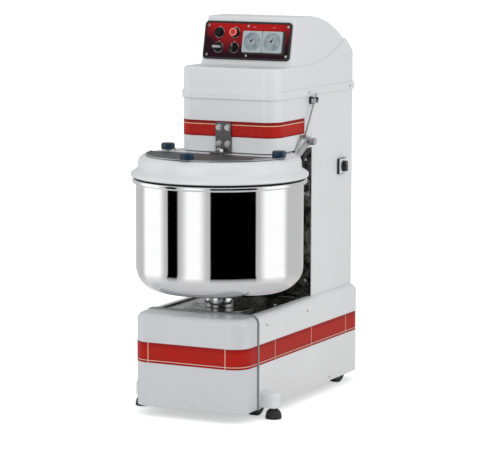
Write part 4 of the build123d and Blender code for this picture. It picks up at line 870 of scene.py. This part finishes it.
def build_wheelset(node):
    """Two treaded rubber tyres on dished rims, fixed to one steel axle."""
    low, high = box(node)
    centre = middle(node)
    radius = (high.z - low.z) / 2
    half_axle = (high.x - low.x) / 2
    half = 15
    wheel_offset = 165
    grooves = 36
    groove_share = 0.3
    groove_depth = 0.012

    def tread(angle, reach, height):
        on_tread = reach > radius - 0.5 and abs(height) < 10.5
        in_groove = (angle * grooves / math.pi) % 2 < 2 * groove_share
        return 1 - groove_depth if on_tread and in_groove else 1

    tyre = rounded(mirrored([(30, -half), (radius, -half), (radius, -half / 3)]), [5, 0, 0, 5])
    dish = [(10, 2 - half), (16, 2 - half), (20, 6 - half), (28, 4 - half), (30.5, 1 - half)]
    rim = rounded(mirrored(dish), [1, 1, 1, 0.6, 0.6, 1, 1, 1], 3)
    bm = bmesh.new()
    add_turned(bm, rounded(post(10, -half_axle, half_axle), [1, 1]), facing(ACROSS, centre), 32, 1)
    for side in (-1, 1):
        at = facing(ACROSS, centre + ACROSS * side * wheel_offset)
        add_turned(bm, tyre + tyre[:1], at, 96, 0, tread)
        add_turned(bm, rim + rim[:1], at, 48, 2)
    paints = ["black_rubber", "satin_steel", "grey_plastic"]
    make_piece(bm, node + "_tyred", paints, node, node)


def build_roller(node):
    """Nylon roller on its pin's clearance hole, with side hubs."""
    low, high = box(node)
    radius = (high.x - low.x) / 2
    half = (high.z - low.z) / 2
    side = [(6.1, -half), (radius - 8, -half), (radius - 7, 2 - half), (radius, 2 - half)]
    outline = rounded(mirrored(side) + side[:1], [0.5, 0.5, 2, 2, 0.5, 0.5, 0], 4)
    bm = bmesh.new()
    add_turned(bm, outline, Matrix.Translation(middle(node)), 64)
    make_piece(bm, node + "_nylon", ["black_plastic"], node, node)


# ---- Control panel -------------------------------------------------------------------------
# Where each control's column comes from: the round push buttons above the selectors.
COLUMNS = {
    "start_button": "start_button",
    "stop_button": "stop_button",
    "speed_selector": "start_button",
    "bowl_selector": "stop_button",
}
CAP_SPAN = span("start_button", ACROSS)
CAP = (CAP_SPAN[1] - CAP_SPAN[0]) / 2
COLLAR = sum(CAP_SPAN) / 2 - span("control_bezels", ACROSS)[0]
TIMER_SIZE = 72
TIMER_OUT = span("timer_bodies", OUT)[1]
TIMER_UP = sum(span("timer_bodies", UP_FACE)) / 2
TIMER_KNOBS = ("left_timer_knob", "right_timer_knob")


def control_place(node):
    """A control's place on the face, in line with its column."""
    _, up, out = face_place(node)
    return face_place(COLUMNS[node])[0], up, out


def build_bezels():
    """Black collars with a thin steel edge round the four controls, and their barrels."""
    shoulder = CAP + 2.8
    profile = [(8.3, 1), (CAP + 0.3, 1), (CAP + 0.3, 5), (shoulder, 4.2), (shoulder, 0), (11, 0)]
    profile += [(11, -32), (8.3, -32), (8.3, 1)]
    collar = rounded(profile, [0, 0.6, 0.6, 0, 0, 0, 0], 4)
    start = (CAP + 2.5, 0)
    edge = rounded([start, (CAP + 2.5, 3.4), (COLLAR, 1.8), (COLLAR, 0), start], [0.3, 0.8, 0], 4)
    bm = bmesh.new()
    for node in COLUMNS:
        across, up, _ = control_place(node)
        at = on_face(across, up, PANEL_OUT + 0.3)
        add_turned(bm, collar, at, 48)
        add_turned(bm, edge, at, 48, 1)
    paints = ["control_black", "bezel_steel"]
    make_piece(bm, "control_collars", paints, "machine", "control_bezels")


def build_start_button():
    """Flat black push button."""
    profile = [(0, -0.6), (10, -0.6), (CAP, 0), (CAP, -6), (8, -6), (8, -31), (0, -31)]
    bm = bmesh.new()
    at = on_face(*control_place("start_button"))
    add_turned(bm, rounded(profile, [2, 1.2, 0, 0, 0]), at, 40)
    make_piece(bm, "start_cap", ["control_black"], "start_button", "start_button")


def build_stop_button():
    """Red push button with a pale ring moulded round its dished top."""
    at = on_face(*control_place("stop_button"))
    bm = bmesh.new()
    ring = rounded([(8.5, -1.2), (9.5, 0), (12.5, 0), (CAP, -2.2)], [0.6, 1.2])
    add_turned(bm, ring, at, 40, 1)
    add_turned(bm, [(0, -1.8), (8.5, -1.2)], at, 40)
    add_turned(bm, [(CAP, -2.2), (CAP, -8), (8, -8), (8, -33), (0, -33)], at, 40)
    paints = ["red_plastic", "salmon_plastic"]
    make_piece(bm, "stop_cap", paints, "stop_button", "stop_button")


def build_selector(node, upright, grip_paint):
    """Turning knob: a domed skirt, a bar grip and a pale pointer line along it."""
    grip_height = 18
    across, up, out = control_place(node)
    at = on_face(across, up, out - grip_height)
    profile = [(0, 8.4), (9, 8.2), (CAP, 5), (CAP, 0), (8, 0), (8, -24), (0, -24)]
    bm = bmesh.new()
    add_turned(bm, rounded(profile, [3, 2, 0, 0, 0]), at, 40)
    grip = rectangle(30, 8, 4, 5)
    line = rectangle(11, 1.4, 0.5, 2, (-8, 0))
    if upright:
        grip = [(-y, x) for x, y in grip]
        line = [(y, -x) for x, y in line]
    add_prism(bm, grip, 6, grip_height, at, 1)
    add_prism(bm, line, grip_height - 0.5, grip_height + 0.2, at, 2)
    paints = ["control_black", grip_paint, "pale_plastic"]
    make_piece(bm, node + "_knob", paints, node, node, 0.7)


def by_angle(points):
    """Points in order round the origin."""
    return sorted(points, key=lambda point: math.atan2(point[1], point[0]))


def add_case(bm, outer, inner, at):
    """Square front with a round window: front ring, outer sides, the window's wall and floor."""
    levels = ((outer, -8), (outer, 0), (inner, 0), (inner, -5))
    rings = [[add_point(bm, at, x, y, level) for x, y in by_angle(points)] for points, level in levels]
    for first, second in zip(rings, rings[1:]):
        bridge(bm, first, second)
    bm.faces.new(rings[-1])
    bm.faces.new(rings[0][::-1])


def build_timers():
    """Square timer cases with a round window, a ringed dial with ticks, and a black back plate whose
    strips to the right of and below the cases are painted shadow.
    """
    places = [face_place(node)[0] for node in TIMER_KNOBS]
    ticks = 30
    window_radius = 31
    window_steps = 24
    angles = [math.tau * (step + 0.5) / window_steps for step in range(window_steps)]
    window = [(window_radius * math.cos(angle), window_radius * math.sin(angle)) for angle in angles]
    outer = rectangle(TIMER_SIZE, TIMER_SIZE, 4, 5)
    dial = [(3.05, -2), (15, -2), (15.6, -2.5), (26, -2.5), (27, -1.2), (window_radius, -1.2)]
    dial += [(window_radius, -4), (3.05, -4), (3.05, -2)]
    cases = bmesh.new()
    dials = bmesh.new()
    width = places[1] - places[0] + TIMER_SIZE
    # Painted shadow: the black back plate reaches out only to the right of and below the cases, where
    # their shadow falls.
    plate = rectangle(width + 9, 77, 2, 2, (4.5, -2.5))
    add_prism(cases, plate, PANEL_OUT, PANEL_OUT + 1.2, on_face(sum(places) / 2, TIMER_UP, 0), 1)
    for across in places:
        at = on_face(across, TIMER_UP, TIMER_OUT)
        add_case(cases, outer, window, at)
        add_prism(cases, rectangle(63, 63, 2, 2), -48, -8, at)
        add_turned(dials, dial, at, 48)
        for tick in range(ticks):
            length, thickness = (3, 0.6) if tick % 5 else (5, 1.1)
            mark = rectangle(length, thickness, 0, 1, (25.5 - length / 2, 0))
            spin = at @ Matrix.Rotation(math.tau * tick / ticks, 4, "Z")
            add_prism(dials, mark, -2.6, -2.3, spin, 1)
    paints = ["silver_plastic", "black_plastic"]
    make_piece(cases, "timer_cases", paints, "machine", "timer_bodies", 0.5)
    make_piece(dials, "timer_dials", ["timer_dial", "grey_plastic"], "machine")


def build_timer_knob(node):
    """Fluted silver knob on its shaft with a dark pointer turned part way round the dial."""
    pointer_turn = math.radians(50)
    at = on_face(face_place(node)[0], TIMER_UP, TIMER_OUT - 2)
    profile = [(0, 11), (8, 10.5), (9, 4), (12, 3), (12, 1), (3, 1), (3, -13), (0, -13)]
    flutes = lobes(12, 0.06, 7.5)

    def fluted_grip(angle, radius, height):
        return flutes(angle, radius, height) if height > 3.5 else 1

    bm = bmesh.new()
    add_turned(bm, rounded(profile, [1.5, 0, 0.8, 0, 0, 0], 4), at, 48, 0, fluted_grip)
    blade = [(-4, -3), (2, -3.6), (12.5, 0), (2, 3.6), (-4, 3)]
    spin = at @ Matrix.Rotation(pointer_turn, 4, "Z")
    add_prism(bm, blade, 10, 11.6, spin, 1)
    paints = ["silver_plastic", "black_plastic"]
    make_piece(bm, node + "_pointer", paints, node, node, 0.3)


def build_panel_marks():
    """Small pale marks printed above the controls and along the top of the panel."""
    top_row = span("control_panel", UP_FACE)[1] - 11
    places = [(face_place(node)[0], top_row) for node in TIMER_KNOBS]
    places += [(control_place(node)[0], control_place(node)[1] + 21) for node in COLUMNS]
    bm = bmesh.new()
    for across, up in places:
        for offset in (-3.5, 0, 3.5):
            mark = rectangle(2.2, 1.4, 0.3, 1, (offset, 0))
            add_prism(bm, mark, 0, 0.25, on_face(across, up, PANEL_OUT - 0.1))
    make_piece(bm, "panel_marks", ["pale_plastic"], "machine")


# ---- Mains switch --------------------------------------------------------------------------
def build_mains_body():
    """Black switch box with a pale face plate."""
    low, high = box("mains_switch_body")
    centre = middle("mains_switch_body")
    at = facing(ACROSS, (0, centre.y, centre.z))
    sizes = at.to_3x3().inverted() @ (high - low)
    width, height = abs(sizes.x), abs(sizes.y)
    bm = bmesh.new()
    add_prism(bm, rectangle(width, height, 4, 5), low.x, high.x - 1, at)
    add_prism(bm, rectangle(width - 3, height - 3, 3, 5), high.x - 1.5, high.x, at, 1)
    paints = ["black_plastic", "white_moulding"]
    make_piece(bm, "isolator_box", paints, "machine", "mains_switch_body", 0.6)


def build_mains_knob():
    """Rotary isolator knob: ribbed skirt, broad bar grip and a pale pointer on it."""
    node = "mains_switch_knob"
    face = box("mains_switch_body")[1].x + 0.3
    reach = box(node)[1].x - face
    pivot = Vector(JOINTS["mains_switch_turn"]["pos_m"]) / MM
    at = facing(ACROSS, (face, pivot.y, pivot.z))
    up = at.to_3x3().inverted() @ UPWARD
    profile = [(0, 5.5), (15, 5), (19, 3.5), (19, 0), (5, 0), (5, -5), (0, -5)]
    bm = bmesh.new()
    add_turned(bm, rounded(profile, [1.5, 1.5, 0, 0, 0]), at, 96, 0, lobes(24, 0.03, 18.5))
    spin = at @ Matrix.Rotation(math.atan2(up.y, up.x), 4, "Z")
    add_prism(bm, rectangle(37, 18, 7, 6), 4, reach - 0.2, spin)
    add_prism(bm, rectangle(11, 2, 0.6, 2, (11, 0)), reach - 0.5, reach, spin, 1)
    make_piece(bm, "isolator_knob", ["black_plastic", "pale_plastic"], node, node, 0.8)


# ---- Stage, in metres ----------------------------------------------------------------------
FLOOR_LIFT = 0.5
FLOOR_DIMMING = 0.1
SCREEN_DISTANCE = 3.0
SCREEN_HEIGHT = 2.8
SCREEN_GLOW = 1.16
SKIRT_LEVEL = 0.004
SKIRT_REACH = 0.75
SKIRT_FADE_START = 1.7
SKIRT_TONE = grey(0.60)

# The reflection screen is an even pale wall with a few plain flats set before it: lit panels and
# black flags. Bearings are in degrees from straight ahead of the machine towards its right-hand
# side, and the flats stand on a 15 degree grid. The widest black one is round the camera.
WALL_GLOW = 0.5
LIT_GLOW = 1.0
BLACK_GLOW = 0.0
LIT_FADE = 10
BLACK_FADE = 1
SCREEN_FLATS = (
    ("left_panel", -90, -60, LIT_GLOW, LIT_FADE),
    ("left_flag", -45, -30, BLACK_GLOW, BLACK_FADE),
    ("front_panel", -15, 0, LIT_GLOW, LIT_FADE),
    ("camera_flag", 15, 75, BLACK_GLOW, BLACK_FADE),
    ("right_panel", 90, 120, LIT_GLOW, LIT_FADE),
)


def seen_by(tree, ray):
    """1 for rays of a kind, such as Is Camera Ray, and 0 for all others."""
    return tree.nodes.new("ShaderNodeLightPath").outputs[ray]


def build_floor():
    """Plain pale floor under everything, lifted for the camera and dimmed in reflections."""
    tree, shader = start_material("floor_paper", grey(0.9), 0.8, specular=0.1)
    tone = remap(tree, noise(tree, 2, 3), 0.3, 0.7)
    drive(shader, "Base Color", blend_colors(tree, tone, grey(0.90), (0.89, 0.89, 0.895)))
    glow = tree.nodes.new("ShaderNodeEmission")
    strength = calculate(tree, "MULTIPLY", seen_by(tree, "Is Camera Ray"), FLOOR_LIFT)
    tree.links.new(strength, glow.inputs["Strength"])
    lifted = tree.nodes.new("ShaderNodeAddShader")
    tree.links.new(shader.outputs["BSDF"], lifted.inputs[0])
    tree.links.new(glow.outputs["Emission"], lifted.inputs[1])
    dimmed = tree.nodes.new("ShaderNodeMixShader")
    dimming = calculate(tree, "MULTIPLY", seen_by(tree, "Is Glossy Ray"), FLOOR_DIMMING)
    tree.links.new(dimming, dimmed.inputs["Fac"])
    tree.links.new(lifted.outputs["Shader"], dimmed.inputs[1])
    drive(tree.nodes["Material Output"], "Surface", dimmed.outputs["Shader"])
    bm = bmesh.new()
    add_prism(bm, rectangle(90000, 90000, 1000), -20, -0.2, Matrix.Identity(4))
    new_object(bm, "studio_floor", [MATERIALS["floor_paper"]])


def screen_stops():
    """Bearings and glows round the screen: each flat fades into the wall on both sides."""
    stops = [(-180, WALL_GLOW)]
    for _, first, last, glow, fade in SCREEN_FLATS:
        stops += [(first - fade, WALL_GLOW), (first, glow), (last, glow), (last + fade, WALL_GLOW)]
    return stops


def screen_material():
    """Glow of the wall and its flats by bearing, fading to SKIRT_TONE towards the machine."""
    material = bpy.data.materials.new("reflection_screen")
    material.use_nodes = True
    tree = material.node_tree
    tree.nodes.clear()
    place = split_place(tree)
    across = calculate(tree, "SUBTRACT", place["X"], BOWL_AXIS.x)
    ahead = calculate(tree, "SUBTRACT", BOWL_AXIS.y, place["Y"])
    ramp = tree.nodes.new("ShaderNodeValToRGB")
    bearing_share = remap(tree, calculate(tree, "ARCTAN2", across, ahead), -math.pi, math.pi)
    tree.links.new(bearing_share, ramp.inputs["Fac"])
    stops = ramp.color_ramp.elements
    stops.remove(stops[-1])
    for index, (bearing, level) in enumerate(screen_stops()):
        position = (bearing + 180) / 360
        stop = stops[0] if index == 0 else stops.new(position)
        stop.position = position
        stop.color = (*grey(level), 1)
    squares = [calculate(tree, "MULTIPLY", value, value) for value in (across, ahead)]
    away = calculate(tree, "SQRT", calculate(tree, "ADD", *squares))
    fade = remap(tree, away, SKIRT_REACH, SKIRT_FADE_START, 1.0, 0.0)
    glow = tree.nodes.new("ShaderNodeEmission")
    glow.inputs["Strength"].default_value = SCREEN_GLOW
    drive(glow, "Color", blend_colors(tree, fade, ramp.outputs["Color"], SKIRT_TONE))
    output = tree.nodes.new("ShaderNodeOutputMaterial")
    drive(output, "Surface", glow.outputs["Emission"])
    return material


def build_screen():
    """Round screen and floor skirt, seen only in reflections, that draw the bowl's stripes."""
    profile = (
        (SKIRT_REACH, SKIRT_LEVEL),
        (SCREEN_DISTANCE, SKIRT_LEVEL),
        (SCREEN_DISTANCE, SCREEN_HEIGHT),
    )
    bm = bmesh.new()
    at = Matrix.Translation((BOWL_AXIS.x / MM, BOWL_AXIS.y / MM, 0))
    add_turned(bm, [(reach / MM, level / MM) for reach, level in profile], at, 120)
    screen = new_object(bm, "reflection_screen", [screen_material()])
    screen.visible_camera = False
    screen.visible_diffuse = False
    screen.visible_shadow = False
    screen.visible_transmission = False


SOFTBOX_SIZE = 3.0


def build_light(name, place, aim, power):
    """Large soft square light."""
    data = bpy.data.lights.new(name, "AREA")
    data.shape = "RECTANGLE"
    data.size = SOFTBOX_SIZE
    data.size_y = SOFTBOX_SIZE
    data.energy = power
    light = bpy.data.objects.new(name, data)
    bpy.context.scene.collection.objects.link(light)
    light.location = place
    light.rotation_euler = (Vector(aim) - Vector(place)).to_track_quat("-Z", "Y").to_euler()


def build_lighting():
    """Even white room with broad soft lights from the right and the front."""
    world = bpy.data.worlds.new("studio_white")
    bpy.context.scene.world = world
    world.use_nodes = True
    tree = world.node_tree
    height = remap(tree, split_place(tree, "Generated")["Z"], 0.0, 1.0)
    room = blend_colors(tree, height, (0.78, 0.79, 0.805), (0.70, 0.705, 0.71))
    backdrop = blend_colors(tree, seen_by(tree, "Is Camera Ray"), room, grey(1.0))
    drive(tree.nodes["Background"], "Color", backdrop)
    build_light("right_softbox", (5.0, -1.0, 2.5), (0, 0, 0.9), 46)
    build_light("front_softbox", (-1.6, -5.4, 1.8), (0, 0, 0.7), 42)


# The camera stands off the machine's right front corner and looks slightly down; degrees.
CAMERA_FROM_BOWL = Vector((3.7449, -7.3499, 1.7027))
CAMERA_YAW = 26.31
CAMERA_DROP = 7.55
CAMERA_ROLL = 0.17
SENSOR = 36.0
LENS = 182.54


def build_camera():
    """Camera at the viewing angle of the reference."""
    data = bpy.data.cameras.new("camera")
    data.sensor_fit = "HORIZONTAL"
    data.sensor_width = SENSOR
    data.lens = LENS
    data.clip_end = 200
    camera = bpy.data.objects.new("camera", data)
    bpy.context.scene.collection.objects.link(camera)
    camera.location = Vector((BOWL_AXIS.x, BOWL_AXIS.y, 0)) + CAMERA_FROM_BOWL
    turn = Euler((math.radians(90 - CAMERA_DROP), 0, math.radians(CAMERA_YAW))).to_matrix()
    roll = Matrix.Rotation(math.radians(CAMERA_ROLL), 3, "Z")
    camera.rotation_euler = (turn @ roll).to_euler()
    bpy.context.scene.camera = camera


# ---- Assembly ------------------------------------------------------------------------------
for finish, rounding, nodes in NODE_FINISHES:
    for kept in nodes:
        finish_node(kept, finish, rounding)
build_bowl()
build_lid_knobs()
build_plate_fittings()
build_stay_clamp()
build_screws()
build_bracket_bolts()
for foot in ("left_foot", "right_foot"):
    build_foot(foot)
for wheels in ("front_wheelset", "rear_wheelset"):
    build_wheelset(wheels)
for roller in ("left_guide_roller", "right_guide_roller"):
    build_roller(roller)
build_bezels()
build_start_button()
build_stop_button()
build_selector("speed_selector", False, "grey_plastic")
build_selector("bowl_selector", True, "black_plastic")
build_timers()
for timer_knob in TIMER_KNOBS:
    build_timer_knob(timer_knob)
build_panel_marks()
build_mains_body()
build_mains_knob()
build_floor()
build_screen()
build_lighting()
build_camera()
bpy.context.scene.view_settings.view_transform = "Standard"
